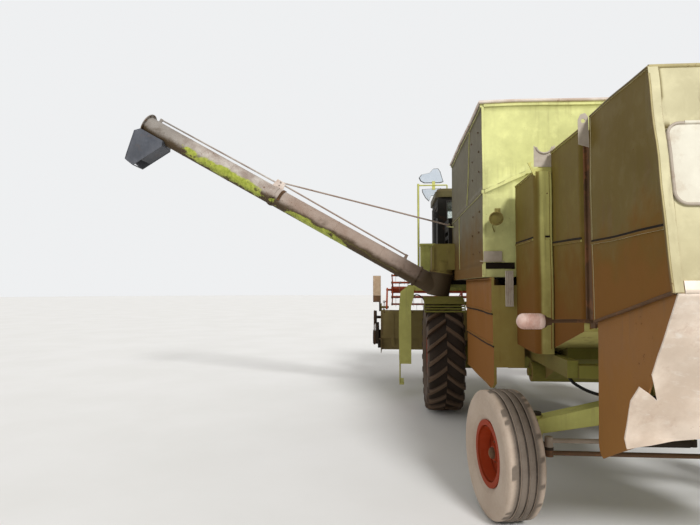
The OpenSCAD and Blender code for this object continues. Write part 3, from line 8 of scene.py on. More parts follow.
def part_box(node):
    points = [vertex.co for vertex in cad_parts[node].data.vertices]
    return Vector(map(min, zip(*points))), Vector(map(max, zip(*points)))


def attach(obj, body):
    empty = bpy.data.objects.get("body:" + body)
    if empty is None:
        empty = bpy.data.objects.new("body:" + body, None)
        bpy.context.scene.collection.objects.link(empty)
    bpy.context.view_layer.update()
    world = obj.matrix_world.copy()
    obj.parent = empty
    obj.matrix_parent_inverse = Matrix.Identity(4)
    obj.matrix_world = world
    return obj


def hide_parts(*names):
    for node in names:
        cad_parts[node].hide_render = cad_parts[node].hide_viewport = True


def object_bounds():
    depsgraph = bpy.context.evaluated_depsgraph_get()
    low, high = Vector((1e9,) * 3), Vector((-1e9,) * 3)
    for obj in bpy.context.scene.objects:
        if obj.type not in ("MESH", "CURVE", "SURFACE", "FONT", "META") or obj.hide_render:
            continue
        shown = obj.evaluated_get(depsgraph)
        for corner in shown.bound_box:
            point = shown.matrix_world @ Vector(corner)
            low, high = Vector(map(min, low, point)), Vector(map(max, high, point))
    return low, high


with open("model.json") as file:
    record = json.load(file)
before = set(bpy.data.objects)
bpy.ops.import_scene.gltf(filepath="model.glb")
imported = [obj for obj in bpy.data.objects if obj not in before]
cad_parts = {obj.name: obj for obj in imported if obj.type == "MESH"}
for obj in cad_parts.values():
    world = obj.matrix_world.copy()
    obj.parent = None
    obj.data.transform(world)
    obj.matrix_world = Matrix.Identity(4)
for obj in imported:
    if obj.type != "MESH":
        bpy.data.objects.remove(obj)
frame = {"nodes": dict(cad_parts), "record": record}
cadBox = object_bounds()
nodes = frame["nodes"]

# The machine is laid out from its front axle and centre line, so places are given from there
leftTyre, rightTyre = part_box("tyre_front_left"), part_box("tyre_front_right")
shiftX = (leftTyre[0].x + leftTyre[1].x) / 2
shiftY = (leftTyre[0].y + rightTyre[1].y) / 2
sides = ((1, "left"), (-1, "right"))


def at(x, y, z):
    return Vector((x + shiftX, y + shiftY, z))


def mirrored(place, side):
    # A place given for the left side, on the side that is asked for
    return at(place[0], side * place[1], place[2])


# Camera and light

cameraSetup = {"place": (-7.35, 1.875, 1.62), "yaw": 4.61, "pitch": 2.47, "lens": 28.03}
lightSetup = {
    "world": 0.50,
    "sun": 2.60, "sunFrom": (-0.80, -0.30, 0.58), "sunSpread": 12,
    "fill": 0.26, "fillFrom": (-0.25, 0.90, 0.45), "fillSpread": 60,
    "front": 0.6, "frontFrom": (0.85, -0.25, 0.50), "frontSpread": 60,
}

scene = bpy.context.scene
scene.view_settings.view_transform = "Standard"

cameraData = bpy.data.cameras.new("camera")
cameraData.lens = cameraSetup["lens"]
cameraData.sensor_width = 36
cameraData.clip_end = 300
camera = bpy.data.objects.new("camera", cameraData)
scene.collection.objects.link(camera)
camera.location = at(*cameraSetup["place"])
yaw, pitch = math.radians(cameraSetup["yaw"]), math.radians(cameraSetup["pitch"])
sight = Vector((math.cos(pitch) * math.cos(yaw), math.cos(pitch) * math.sin(yaw), math.sin(pitch)))
camera.rotation_euler = sight.to_track_quat("-Z", "Y").to_euler()
scene.camera = camera


def addSun(name, strength, source, spread):
    data = bpy.data.lights.new(name, "SUN")
    data.energy = strength
    data.angle = math.radians(spread)
    lamp = bpy.data.objects.new(name, data)
    scene.collection.objects.link(lamp)
    lamp.rotation_euler = (-Vector(source)).to_track_quat("-Z", "Y").to_euler()


for which in ("sun", "fill", "front"):
    addSun(which, lightSetup[which], lightSetup[which + "From"], lightSetup[which + "Spread"])


# Small helpers for node trees

def nodeIn(tree, kind, x=0, y=0, **values):
    made = tree.nodes.new(kind)
    made.location = (x, y)
    for key, value in values.items():
        if key in made.inputs:
            made.inputs[key].default_value = value
        else:
            setattr(made, key, value)
    return made


def mathIn(tree, operation, a, b=None, clamp=False):
    made = tree.nodes.new("ShaderNodeMath")
    made.operation = operation
    made.use_clamp = clamp
    for slot, value in enumerate((a, b)):
        if value is None:
            continue
        if isinstance(value, (int, float)):
            made.inputs[slot].default_value = value
        else:
            tree.links.new(value, made.inputs[slot])
    return made.outputs[0]


def times(tree, a, b, clamp=False):
    return mathIn(tree, "MULTIPLY", a, b, clamp)


def plus(tree, a, b):
    return mathIn(tree, "ADD", a, b)


def minus(tree, a, b):
    return mathIn(tree, "SUBTRACT", a, b)


def rangeIn(tree, value, low, high, outLow=0.0, outHigh=1.0):
    made = tree.nodes.new("ShaderNodeMapRange")
    made.interpolation_type = "SMOOTHSTEP"
    tree.links.new(value, made.inputs["Value"])
    for key, number in (("From Min", low), ("From Max", high), ("To Min", outLow), ("To Max", outHigh)):
        if isinstance(number, (int, float)):
            made.inputs[key].default_value = number
        else:
            tree.links.new(number, made.inputs[key])
    return made.outputs["Result"]


def mixIn(tree, factor, a, b, mode="MIX"):
    made = tree.nodes.new("ShaderNodeMix")
    made.data_type = "RGBA"
    made.blend_type = mode
    sockets = {"factor": made.inputs[0], "a": made.inputs[6], "b": made.inputs[7]}
    for key, value in (("factor", factor), ("a", a), ("b", b)):
        if isinstance(value, (int, float)):
            sockets[key].default_value = value
        elif isinstance(value, (tuple, list)):
            sockets[key].default_value = (*value, 1.0)
        else:
            tree.links.new(value, sockets[key])
    return made.outputs[2]


def noiseIn(tree, vector, scale, detail=4.0, rough=0.55, stretch=None):
    if stretch:
        mapping = nodeIn(tree, "ShaderNodeMapping")
        mapping.inputs["Scale"].default_value = stretch
        tree.links.new(vector, mapping.inputs["Vector"])
        vector = mapping.outputs[0]
    made = tree.nodes.new("ShaderNodeTexNoise")
    made.inputs["Detail"].default_value = detail
    made.inputs["Roughness"].default_value = rough
    if isinstance(scale, (int, float)):
        made.inputs["Scale"].default_value = scale
    else:
        tree.links.new(scale, made.inputs["Scale"])
    tree.links.new(vector, made.inputs["Vector"])
    return made.outputs["Fac"]


def newGroup(name, inputs, outputs):
    # A group whose sockets are all plain numbers
    tree = bpy.data.node_groups.new(name, "ShaderNodeTree")
    for key, value in inputs.items():
        socket = tree.interface.new_socket(name=key, in_out="INPUT", socket_type="NodeSocketFloat")
        socket.default_value = value
    for key in outputs:
        tree.interface.new_socket(name=key, in_out="OUTPUT", socket_type="NodeSocketFloat")
    return tree, tree.nodes.new("NodeGroupInput").outputs, tree.nodes.new("NodeGroupOutput").inputs


# Shared surface effects, each one a node group

def makeEdgeWear():
    # Worn edges: the rounded normal differs from the flat one only close to an edge
    tree, given, result = newGroup("edgeWear", {"Radius": 0.008, "Scale": 9.0, "Amount": 0.6}, ["Mask"])
    bevel = nodeIn(tree, "ShaderNodeBevel", samples=4)
    tree.links.new(given["Radius"], bevel.inputs["Radius"])
    flat = nodeIn(tree, "ShaderNodeNewGeometry")
    dot = nodeIn(tree, "ShaderNodeVectorMath", operation="DOT_PRODUCT")
    tree.links.new(bevel.outputs[0], dot.inputs[0])
    tree.links.new(flat.outputs["Normal"], dot.inputs[1])
    edge = rangeIn(tree, minus(tree, 1.0, dot.outputs["Value"]), 0.02, 0.22)
    where = nodeIn(tree, "ShaderNodeTexCoord")
    grain = rangeIn(tree, noiseIn(tree, where.outputs["Object"], given["Scale"], 6.0, 0.7), 0.40, 0.62)
    worn = times(tree, times(tree, edge, grain), given["Amount"], clamp=True)
    tree.links.new(worn, result["Mask"])
    return tree


def makeDust():
    # Dust that thickens downwards, lies on what faces up and breaks up in patches
    values = {"Low": 0.5, "High": 2.0, "Amount": 0.8, "Top": 0.5, "Scale": 3.0}
    tree, given, result = newGroup("dust", values, ["Mask", "Grain"])
    where = nodeIn(tree, "ShaderNodeTexCoord")
    split = nodeIn(tree, "ShaderNodeSeparateXYZ")
    tree.links.new(where.outputs["Object"], split.inputs[0])
    facing = nodeIn(tree, "ShaderNodeSeparateXYZ")
    tree.links.new(where.outputs["Normal"], facing.inputs[0])
    patches = noiseIn(tree, where.outputs["Object"], given["Scale"], 5.0, 0.6)
    height = rangeIn(tree, plus(tree, split.outputs["Z"],
        times(tree, minus(tree, patches, 0.5), 0.9)), given["High"], given["Low"])
    low = times(tree, height, given["Amount"])
    top = times(tree, rangeIn(tree, facing.outputs["Z"], 0.35, 0.95),
        times(tree, given["Top"], rangeIn(tree, patches, 0.25, 0.6)))
    tree.links.new(mathIn(tree, "MAXIMUM", low, top, clamp=True), result["Mask"])
    fine = noiseIn(tree, where.outputs["Object"], 140.0, 3.0, 0.7)
    tree.links.new(fine, result["Grain"])
    return tree


def makeStreaks():
    # Rain marks that run down upright sheets
    tree, given, result = newGroup("streaks", {"Width": 14.0, "Amount": 0.5}, ["Mask"])
    where = nodeIn(tree, "ShaderNodeTexCoord")
    thin = noiseIn(tree, where.outputs["Object"], given["Width"], 5.0, 0.65, stretch=(1.0, 1.0, 0.055))
    broad = noiseIn(tree, where.outputs["Object"], 2.3, 3.0, 0.5)
    lines = times(tree, rangeIn(tree, thin, 0.50, 0.72), rangeIn(tree, broad, 0.38, 0.62))
    tree.links.new(times(tree, lines, given["Amount"], clamp=True), result["Mask"])
    return tree


def makeChips():
    # Small chips and rust freckles in clusters
    tree, given, result = newGroup("chips", {"Scale": 26.0, "Amount": 0.4}, ["Mask"])
    where = nodeIn(tree, "ShaderNodeTexCoord")
    spots = noiseIn(tree, where.outputs["Object"], given["Scale"], 8.0, 0.72)
    clusters = noiseIn(tree, where.outputs["Object"], 1.7, 3.0, 0.6)
    level = minus(tree, 0.74, times(tree, given["Amount"], 0.16))
    mask = times(tree, rangeIn(tree, spots, level, plus(tree, level, 0.035)),
        rangeIn(tree, clusters, 0.44, 0.60), clamp=True)
    tree.links.new(mask, result["Mask"])
    return tree


edgeWear, dust, streaks, chips = makeEdgeWear(), makeDust(), makeStreaks(), makeChips()


def groupIn(tree, group, **values):
    made = tree.nodes.new("ShaderNodeGroup")
    made.node_tree = group
    for key, value in values.items():
        made.inputs[key].default_value = value
    return made.outputs


def newMaterial(name, metallic=0.0, rough=0.6):
    material = bpy.data.materials.new(name)
    material.use_nodes = True
    tree = material.node_tree
    surface = tree.nodes["Principled BSDF"]
    surface.inputs["Metallic"].default_value = metallic
    surface.inputs["Roughness"].default_value = rough
    where = tree.nodes.new("ShaderNodeTexCoord")
    return material, tree, surface, where.outputs


def shade(colour, factor, lift=0.0):
    return tuple(min(1.0, channel * factor + lift) for channel in colour)


def bumpIn(tree, surface, height, strength, distance):
    bump = tree.nodes.new("ShaderNodeBump")
    bump.inputs["Strength"].default_value = strength
    bump.inputs["Distance"].default_value = distance
    tree.links.new(height, bump.inputs["Height"])
    tree.links.new(bump.outputs[0], surface.inputs["Normal"])


# Materials: colours are linear

paintSetups = {
    # sun-bleached yellow-green sheets: "sun" is the colour of faces towards the rear, painted as sunlit, and
    # "side" that of sideways faces, darkened with painted shade under brown harvest dust
    "hoodPaint": {"sun": (0.66, 0.610, 0.385), "side": (0.130, 0.088, 0.015), "dust": (0.192, 0.086, 0.020),
        "rearDust": 0.12, "low": 1.62, "high": 2.10, "dustAmount": 0.95, "top": 0.6, "rust": 0.55,
        "streak": 0.5, "wear": 0.7},
    "tankPaint": {"sun": (0.73, 0.74, 0.32), "side": (0.083, 0.066, 0.024), "dust": (0.158, 0.076, 0.018),
        "rearDust": 0.15, "low": 1.6, "high": 2.5, "dustAmount": 0.8, "top": 0.6, "rust": 0.5, "streak": 0.35,
        "wear": 0.6},
    "bodyPaint": {"sun": (0.60, 0.575, 0.20), "side": (0.140, 0.098, 0.016), "dust": (0.155, 0.062, 0.012),
        "low": 1.3, "high": 2.2, "dustAmount": 0.95, "top": 0.6, "rust": 0.6, "streak": 0.5, "wear": 0.7},
    "guardPaint": {"sun": (0.34, 0.285, 0.085), "side": (0.225, 0.095, 0.018), "dust": (0.230, 0.095, 0.022),
        "low": 1.0, "high": 2.1, "dustAmount": 0.8, "top": 0.5, "rust": 0.5, "streak": 0.55, "wear": 0.6},
    "skirtPaint": {"sun": (0.26, 0.125, 0.045), "side": (0.250, 0.112, 0.028), "dust": (0.290, 0.138, 0.040),
        "low": 0.7, "high": 1.5, "dustAmount": 0.7, "top": 0.4, "rust": 0.7, "streak": 0.75, "wear": 0.5},
    # framePaint is darkened with painted shade, for the frame under the body
    "framePaint": {"sun": (0.20, 0.195, 0.040), "side": (0.150, 0.140, 0.030), "dust": (0.180, 0.105, 0.040),
        "low": 0.5, "high": 1.5, "dustAmount": 0.75, "top": 0.9, "rust": 0.6, "streak": 0.3, "wear": 0.6},
    "freshPaint": {"sun": (0.60, 0.61, 0.19), "side": (0.38, 0.37, 0.090), "dust": (0.34, 0.24, 0.12),
        "low": 0.9, "high": 2.3, "dustAmount": 0.45, "top": 0.7, "rust": 0.4, "streak": 0.4, "wear": 0.6},
    # troughPaint is darkened with painted shade, for the header's back
    "troughPaint": {"sun": (0.21, 0.170, 0.065), "side": (0.16, 0.125, 0.050), "dust": (0.18, 0.115, 0.065),
        "low": 0.7, "high": 1.9, "dustAmount": 0.85, "top": 0.5, "rust": 0.6, "streak": 0.4, "wear": 0.5},
    "elbowPaint": {"sun": (0.24, 0.20, 0.055), "side": (0.18, 0.15, 0.040), "dust": (0.20, 0.115, 0.055),
        "low": 1.6, "high": 2.3, "dustAmount": 0.5, "top": 0.5, "rust": 0.6, "streak": 0.3, "wear": 0.7},
    "roofPaint": {"sun": (0.10, 0.085, 0.035), "side": (0.085, 0.070, 0.030), "dust": (0.19, 0.14, 0.085),
        "low": 2.0, "high": 3.2, "dustAmount": 0.5, "top": 0.8, "rust": 0.4, "streak": 0.3, "wear": 0.5},
    "foldedEdge": {"sun": (0.50, 0.43, 0.22), "side": (0.13, 0.095, 0.040), "dust": (0.22, 0.125, 0.060),
        "low": 1.2, "high": 2.0, "dustAmount": 0.8, "top": 0.3, "rust": 0.9, "streak": 0.3, "wear": 0.9},
    "rimPaint": {"sun": (0.34, 0.038, 0.006), "side": (0.30, 0.030, 0.005), "dust": (0.21, 0.060, 0.024),
        "low": 0.1, "high": 1.0, "dustAmount": 0.25, "top": 0.3, "rust": 0.5, "streak": 0.1, "wear": 0.5},
    "redPaint": {"sun": (0.44, 0.085, 0.035), "side": (0.40, 0.065, 0.024), "dust": (0.36, 0.22, 0.13),
        "low": 0.2, "high": 1.4, "dustAmount": 0.30, "top": 0.5, "rust": 0.7, "streak": 0.2, "wear": 0.7},
}


def paintedMetal(name, setup):
    material, tree, surface, where = newMaterial(name)
    facing = tree.nodes.new("ShaderNodeSeparateXYZ")
    tree.links.new(where["Normal"], facing.inputs[0])
    sideways = rangeIn(tree, mathIn(tree, "ABSOLUTE", facing.outputs["Y"]), 0.25, 0.75)
    tone = noiseIn(tree, where["Object"], 1.9, 6.0, 0.6)
    fine = noiseIn(tree, where["Object"], 11.0, 6.0, 0.6)
    # Faces towards the rear take the sunlit colour and sideways faces the darker one: painted light and
    # painted shade
    colour = mixIn(tree, sideways, setup["sun"], setup["side"])
    colour = mixIn(tree, rangeIn(tree, tone, 0.30, 0.72, 0.0, 0.34), colour, shade(setup["side"], 0.70))
    colour = mixIn(tree, times(tree, rangeIn(tree, fine, 0.46, 0.75, 0.0, 0.22),
        rangeIn(tree, sideways, 0.0, 1.0, 1.0, 0.12)), colour, shade(setup["sun"], 1.35, 0.03))
    rain = groupIn(tree, streaks, Width=15.0, Amount=setup["streak"])["Mask"]
    colour = mixIn(tree, rain, colour, shade(setup["dust"], 0.55, 0.02))
    dirt = groupIn(tree, dust, Low=setup["low"], High=setup["high"], Amount=setup["dustAmount"],
        Top=setup["top"])
    dusty = mixIn(tree, dirt["Grain"], shade(setup["dust"], 0.86), shade(setup["dust"], 1.12))
    film = times(tree, dirt["Mask"], rangeIn(tree, sideways, 0.0, 1.0, setup.get("rearDust", 0.30), 1.0))
    colour = mixIn(tree, film, colour, dusty)
    spots = groupIn(tree, chips, Scale=24.0, Amount=setup["rust"])["Mask"]
    colour = mixIn(tree, spots, colour, (0.135, 0.050, 0.022))
    edges = groupIn(tree, edgeWear, Amount=setup["wear"])["Mask"]
    colour = mixIn(tree, edges, colour, (0.23, 0.125, 0.070))
    tree.links.new(colour, surface.inputs["Base Color"])
    worn = mathIn(tree, "MAXIMUM", dirt["Mask"], spots)
    tree.links.new(rangeIn(tree, worn, 0.0, 0.8, 0.56, 0.90), surface.inputs["Roughness"])
    relief = plus(tree, tone, times(tree, fine, 0.22))
    relief = minus(tree, relief, times(tree, spots, 0.12))
    bumpIn(tree, surface, relief, 0.45, 0.012)
    surface.inputs["Specular IOR Level"].default_value = 0.12
    return material


metalSetups = {
    # bare and rusty metals: two tones, how shiny, and dust over them
    "bareSheet": {"a": (0.66, 0.545, 0.44), "b": (0.93, 0.81, 0.69), "rust": (0.42, 0.25, 0.16),
        "rustAmount": 0.35, "metallic": 0.15, "rough": 0.45, "dust": (0.60, 0.44, 0.32), "low": 0.6,
        "high": 1.5, "dustAmount": 0.35},
    "paleSheet": {"a": (0.62, 0.58, 0.48), "b": (0.72, 0.69, 0.58), "rust": (0.42, 0.31, 0.20),
        "rustAmount": 0.35, "metallic": 0.0, "rough": 0.55, "dust": (0.60, 0.50, 0.36), "low": 1.2,
        "high": 2.4, "dustAmount": 0.3},
    "spoutSheet": {"a": (0.058, 0.066, 0.082), "b": (0.105, 0.112, 0.132), "rust": (0.16, 0.10, 0.07),
        "rustAmount": 0.3, "metallic": 0.2, "rough": 0.6, "dust": (0.18, 0.16, 0.14), "low": 2.0, "high": 4.2,
        "dustAmount": 0.4},
    "workedSteel": {"a": (0.25, 0.22, 0.19), "b": (0.40, 0.36, 0.32), "rust": (0.17, 0.075, 0.035),
        "rustAmount": 0.7, "metallic": 0.6, "rough": 0.45, "dust": (0.30, 0.21, 0.13), "low": 0.3,
        "high": 1.6, "dustAmount": 0.5},
    "brightFlight": {"a": (0.34, 0.31, 0.28), "b": (0.52, 0.49, 0.46), "rust": (0.19, 0.09, 0.045),
        "rustAmount": 0.5, "metallic": 0.8, "rough": 0.34, "dust": (0.32, 0.24, 0.16), "low": 0.3,
        "high": 1.4, "dustAmount": 0.3},
    "tineSteel": {"a": (0.20, 0.15, 0.11), "b": (0.36, 0.31, 0.26), "rust": (0.19, 0.085, 0.04),
        "rustAmount": 0.6, "metallic": 0.5, "rough": 0.45, "dust": (0.32, 0.24, 0.16), "low": 0.3,
        "high": 1.8, "dustAmount": 0.4},
    "shinySteel": {"a": (0.50, 0.49, 0.47), "b": (0.62, 0.61, 0.59), "rust": (0.20, 0.11, 0.06),
        "rustAmount": 0.2, "metallic": 1.0, "rough": 0.24, "dust": (0.32, 0.25, 0.18), "low": 0.2,
        "high": 1.0, "dustAmount": 0.2},
    "darkIron": {"a": (0.009, 0.008, 0.007), "b": (0.020, 0.018, 0.015), "rust": (0.10, 0.045, 0.022),
        "rustAmount": 0.5, "metallic": 0.0, "rough": 0.8, "dust": (0.055, 0.036, 0.022), "low": 0.4,
        "high": 2.6, "dustAmount": 0.5},
    "greySheet": {"a": (0.36, 0.305, 0.245), "b": (0.48, 0.425, 0.355), "rust": (0.26, 0.16, 0.10),
        "rustAmount": 0.4, "metallic": 0.1, "rough": 0.6, "dust": (0.40, 0.32, 0.24), "low": 0.6, "high": 2.4,
        "dustAmount": 0.3},
    # gapShade: near black, painted shade for gaps between sheets and for recesses
    "gapShade": {"a": (0.010, 0.007, 0.004), "b": (0.022, 0.014, 0.008), "rust": (0.06, 0.028, 0.012),
        "rustAmount": 0.5, "metallic": 0.0, "rough": 0.95, "dust": (0.05, 0.028, 0.014), "low": 0.4,
        "high": 2.0, "dustAmount": 0.2},
    "pinkRust": {"a": (0.52, 0.41, 0.34), "b": (0.74, 0.66, 0.60), "rust": (0.25, 0.12, 0.07),
        "rustAmount": 0.6, "metallic": 0.0, "rough": 0.75, "dust": (0.48, 0.33, 0.22), "low": 1.2,
        "high": 3.6, "dustAmount": 0.3},
    # mirrorFace: its blue tint is a painted reflection of sky
    "mirrorFace": {"a": (0.62, 0.68, 0.74), "b": (0.70, 0.76, 0.82), "rust": (0.45, 0.42, 0.38),
        "rustAmount": 0.25, "metallic": 0.9, "rough": 0.12, "dust": (0.50, 0.46, 0.40), "low": 2.8,
        "high": 3.4, "dustAmount": 0.2},
    "rustyIron": {"a": (0.058, 0.031, 0.014), "b": (0.105, 0.054, 0.024), "rust": (0.19, 0.075, 0.028),
        "rustAmount": 0.8, "metallic": 0.05, "rough": 0.85, "dust": (0.17, 0.10, 0.06), "low": 0.4,
        "high": 2.8, "dustAmount": 0.5},
}


def agedMetal(name, setup):
    material, tree, surface, where = newMaterial(name, metallic=0.0, rough=setup["rough"])
    tone = noiseIn(tree, where["Object"], 3.1, 6.0, 0.62)
    scuffs = noiseIn(tree, where["Object"], 42.0, 5.0, 0.7, stretch=(1.0, 0.25, 0.18))
    colour = mixIn(tree, rangeIn(tree, tone, 0.32, 0.68), setup["a"], setup["b"])
    colour = mixIn(tree, rangeIn(tree, scuffs, 0.52, 0.80, 0.0, 0.45), colour, shade(setup["b"], 1.4))
    rusty = groupIn(tree, chips, Scale=9.0, Amount=setup["rustAmount"] * 1.6)["Mask"]
    blotch = times(tree, rangeIn(tree, noiseIn(tree, where["Object"], 5.5, 8.0, 0.7), 0.56, 0.70),
        setup["rustAmount"])
    rusty = mathIn(tree, "MAXIMUM", rusty, blotch, clamp=True)
    colour = mixIn(tree, rusty, colour, setup["rust"])
    dirt = groupIn(tree, dust, Low=setup["low"], High=setup["high"], Amount=setup["dustAmount"],
        Top=setup["dustAmount"])
    colour = mixIn(tree, dirt["Mask"], colour, setup["dust"])
    edges = groupIn(tree, edgeWear, Radius=0.005, Amount=0.5)["Mask"]
    colour = mixIn(tree, edges, colour, shade(setup["b"], 1.5, 0.02))
    tree.links.new(colour, surface.inputs["Base Color"])
    cover = mathIn(tree, "MAXIMUM", rusty, dirt["Mask"], clamp=True)
    tree.links.new(rangeIn(tree, cover, 0.0, 0.7, setup["metallic"], 0.0), surface.inputs["Metallic"])
    tree.links.new(rangeIn(tree, cover, 0.0, 0.8, setup["rough"], 0.86), surface.inputs["Roughness"])
    bumpIn(tree, surface, plus(tree, tone, times(tree, scuffs, 0.15)), 0.4, 0.01)
    surface.inputs["Specular IOR Level"].default_value = 0.2
    return material


rubberSetups = {
    # grooves and gaps, worn tops, sidewalls; the mesh's own "wear" says which: 0, 1 and 0.5
    "frontRubber": {"gap": (0.020, 0.012, 0.007), "top": (0.098, 0.062, 0.038), "side": (0.052, 0.033, 0.021),
        "dust": (0.15, 0.092, 0.055), "amount": 0.30},
    "rearRubber": {"gap": (0.030, 0.022, 0.016), "top": (0.130, 0.103, 0.080), "side": (0.410, 0.322, 0.250),
        "dust": (0.53, 0.44, 0.36), "amount": 0.55},
    "hoseRubber": {"gap": (0.010, 0.010, 0.009), "top": (0.022, 0.020, 0.018), "side": (0.016, 0.015, 0.014),
        "dust": (0.10, 0.07, 0.045), "amount": 0.3},
}


def dustyRubber(name, setup):
    material, tree, surface, where = newMaterial(name, rough=0.85)
    wear = nodeIn(tree, "ShaderNodeAttribute", attribute_name="wear").outputs["Fac"]
    tone = noiseIn(tree, where["Object"], 4.0, 6.0, 0.6)
    fine = noiseIn(tree, where["Object"], 60.0, 4.0, 0.7)
    colour = mixIn(tree, rangeIn(tree, wear, 0.0, 0.5), setup["gap"], setup["side"])
    colour = mixIn(tree, rangeIn(tree, wear, 0.55, 0.95), colour, setup["top"])
    patches = rangeIn(tree, plus(tree, times(tree, tone, 0.7), times(tree, fine, 0.3)), 0.38, 0.64)
    offSide = mathIn(tree, "ABSOLUTE", minus(tree, wear, 0.5))
    cover = times(tree, patches, setup["amount"])
    cover = times(tree, cover, rangeIn(tree, offSide, 0.0, 0.5, 1.0, 0.25), clamp=True)
    colour = mixIn(tree, cover, colour, setup["dust"])
    tree.links.new(colour, surface.inputs["Base Color"])
    tree.links.new(rangeIn(tree, cover, 0.0, 1.0, 0.70, 0.94), surface.inputs["Roughness"])
    bumpIn(tree, surface, fine, 0.25, 0.002)
    surface.inputs["Specular IOR Level"].default_value = 0.25
    return material


plasticSetups = {
    "blackPlastic": {"base": (0.030, 0.030, 0.030), "other": (0.060, 0.055, 0.050), "rough": 0.5},
    "markerLens": {"base": (0.62, 0.36, 0.30), "other": (0.80, 0.62, 0.55), "rough": 0.35},
    "headLens": {"base": (0.60, 0.60, 0.56), "other": (0.75, 0.74, 0.70), "rough": 0.2},
    "tanBoard": {"base": (0.38, 0.26, 0.16), "other": (0.50, 0.37, 0.25), "rough": 0.75},
    "seatFabric": {"base": (0.045, 0.047, 0.052), "other": (0.085, 0.085, 0.088), "rough": 0.9},
}


def mouldedPlastic(name, setup):
    material, tree, surface, where = newMaterial(name, rough=setup["rough"])
    tone = noiseIn(tree, where["Object"], 12.0, 5.0, 0.6)
    grain = noiseIn(tree, where["Object"], 380.0, 2.0, 0.5)
    colour = mixIn(tree, rangeIn(tree, tone, 0.35, 0.68), setup["base"], setup["other"])
    film = groupIn(tree, dust, Low=0.5, High=3.4, Amount=0.3, Top=0.5)["Mask"]
    colour = mixIn(tree, film, colour, (0.30, 0.22, 0.15))
    tree.links.new(colour, surface.inputs["Base Color"])
    tree.links.new(rangeIn(tree, film, 0.0, 0.8, setup["rough"], 0.88), surface.inputs["Roughness"])
    bumpIn(tree, surface, grain, 0.15, 0.0008)
    return material


def paneGlass(name):
    material, tree, surface, where = newMaterial(name, rough=0.06)
    surface.inputs["Transmission Weight"].default_value = 0.86
    surface.inputs["IOR"].default_value = 1.12
    film = rangeIn(tree, noiseIn(tree, where["Object"], 5.0, 6.0, 0.65), 0.42, 0.75)
    tree.links.new(mixIn(tree, film, (0.70, 0.76, 0.75), (0.58, 0.52, 0.43)), surface.inputs["Base Color"])
    tree.links.new(rangeIn(tree, film, 0.0, 1.0, 0.05, 0.28), surface.inputs["Roughness"])
    return material


look = {name: paintedMetal(name, setup) for name, setup in paintSetups.items()}
look.update({name: agedMetal(name, setup) for name, setup in metalSetups.items()})
look.update({name: dustyRubber(name, setup) for name, setup in rubberSetups.items()})
look.update({name: mouldedPlastic(name, setup) for name, setup in plasticSetups.items()})
look["paneGlass"] = paneGlass("paneGlass")


augerSetup = {
    "foot": (0.10, 1.27, 1.59), "rise": 29.5, "radius": 0.13, "length": 4.70,
    # "under" is the dark colour of painted shade on the lower half and foot end of the tube, also used for
    # its flaked spots
    "dusty": (0.270, 0.212, 0.175), "pale": (0.510, 0.465, 0.415), "under": (0.062, 0.038, 0.014),
    "brown": (0.250, 0.165, 0.120), "green": (0.245, 0.290, 0.022), "bright": (0.40, 0.44, 0.060),
    "tip": (0.185, 0.168, 0.148),
    # bands of paint that are left: from, to along the tube, low, high round its rear side
    "bands": [(2.70, 4.00, -0.92, 0.06), (1.45, 2.45, -1.10, -0.42), (0.55, 1.50, -0.66, -0.50)],
}


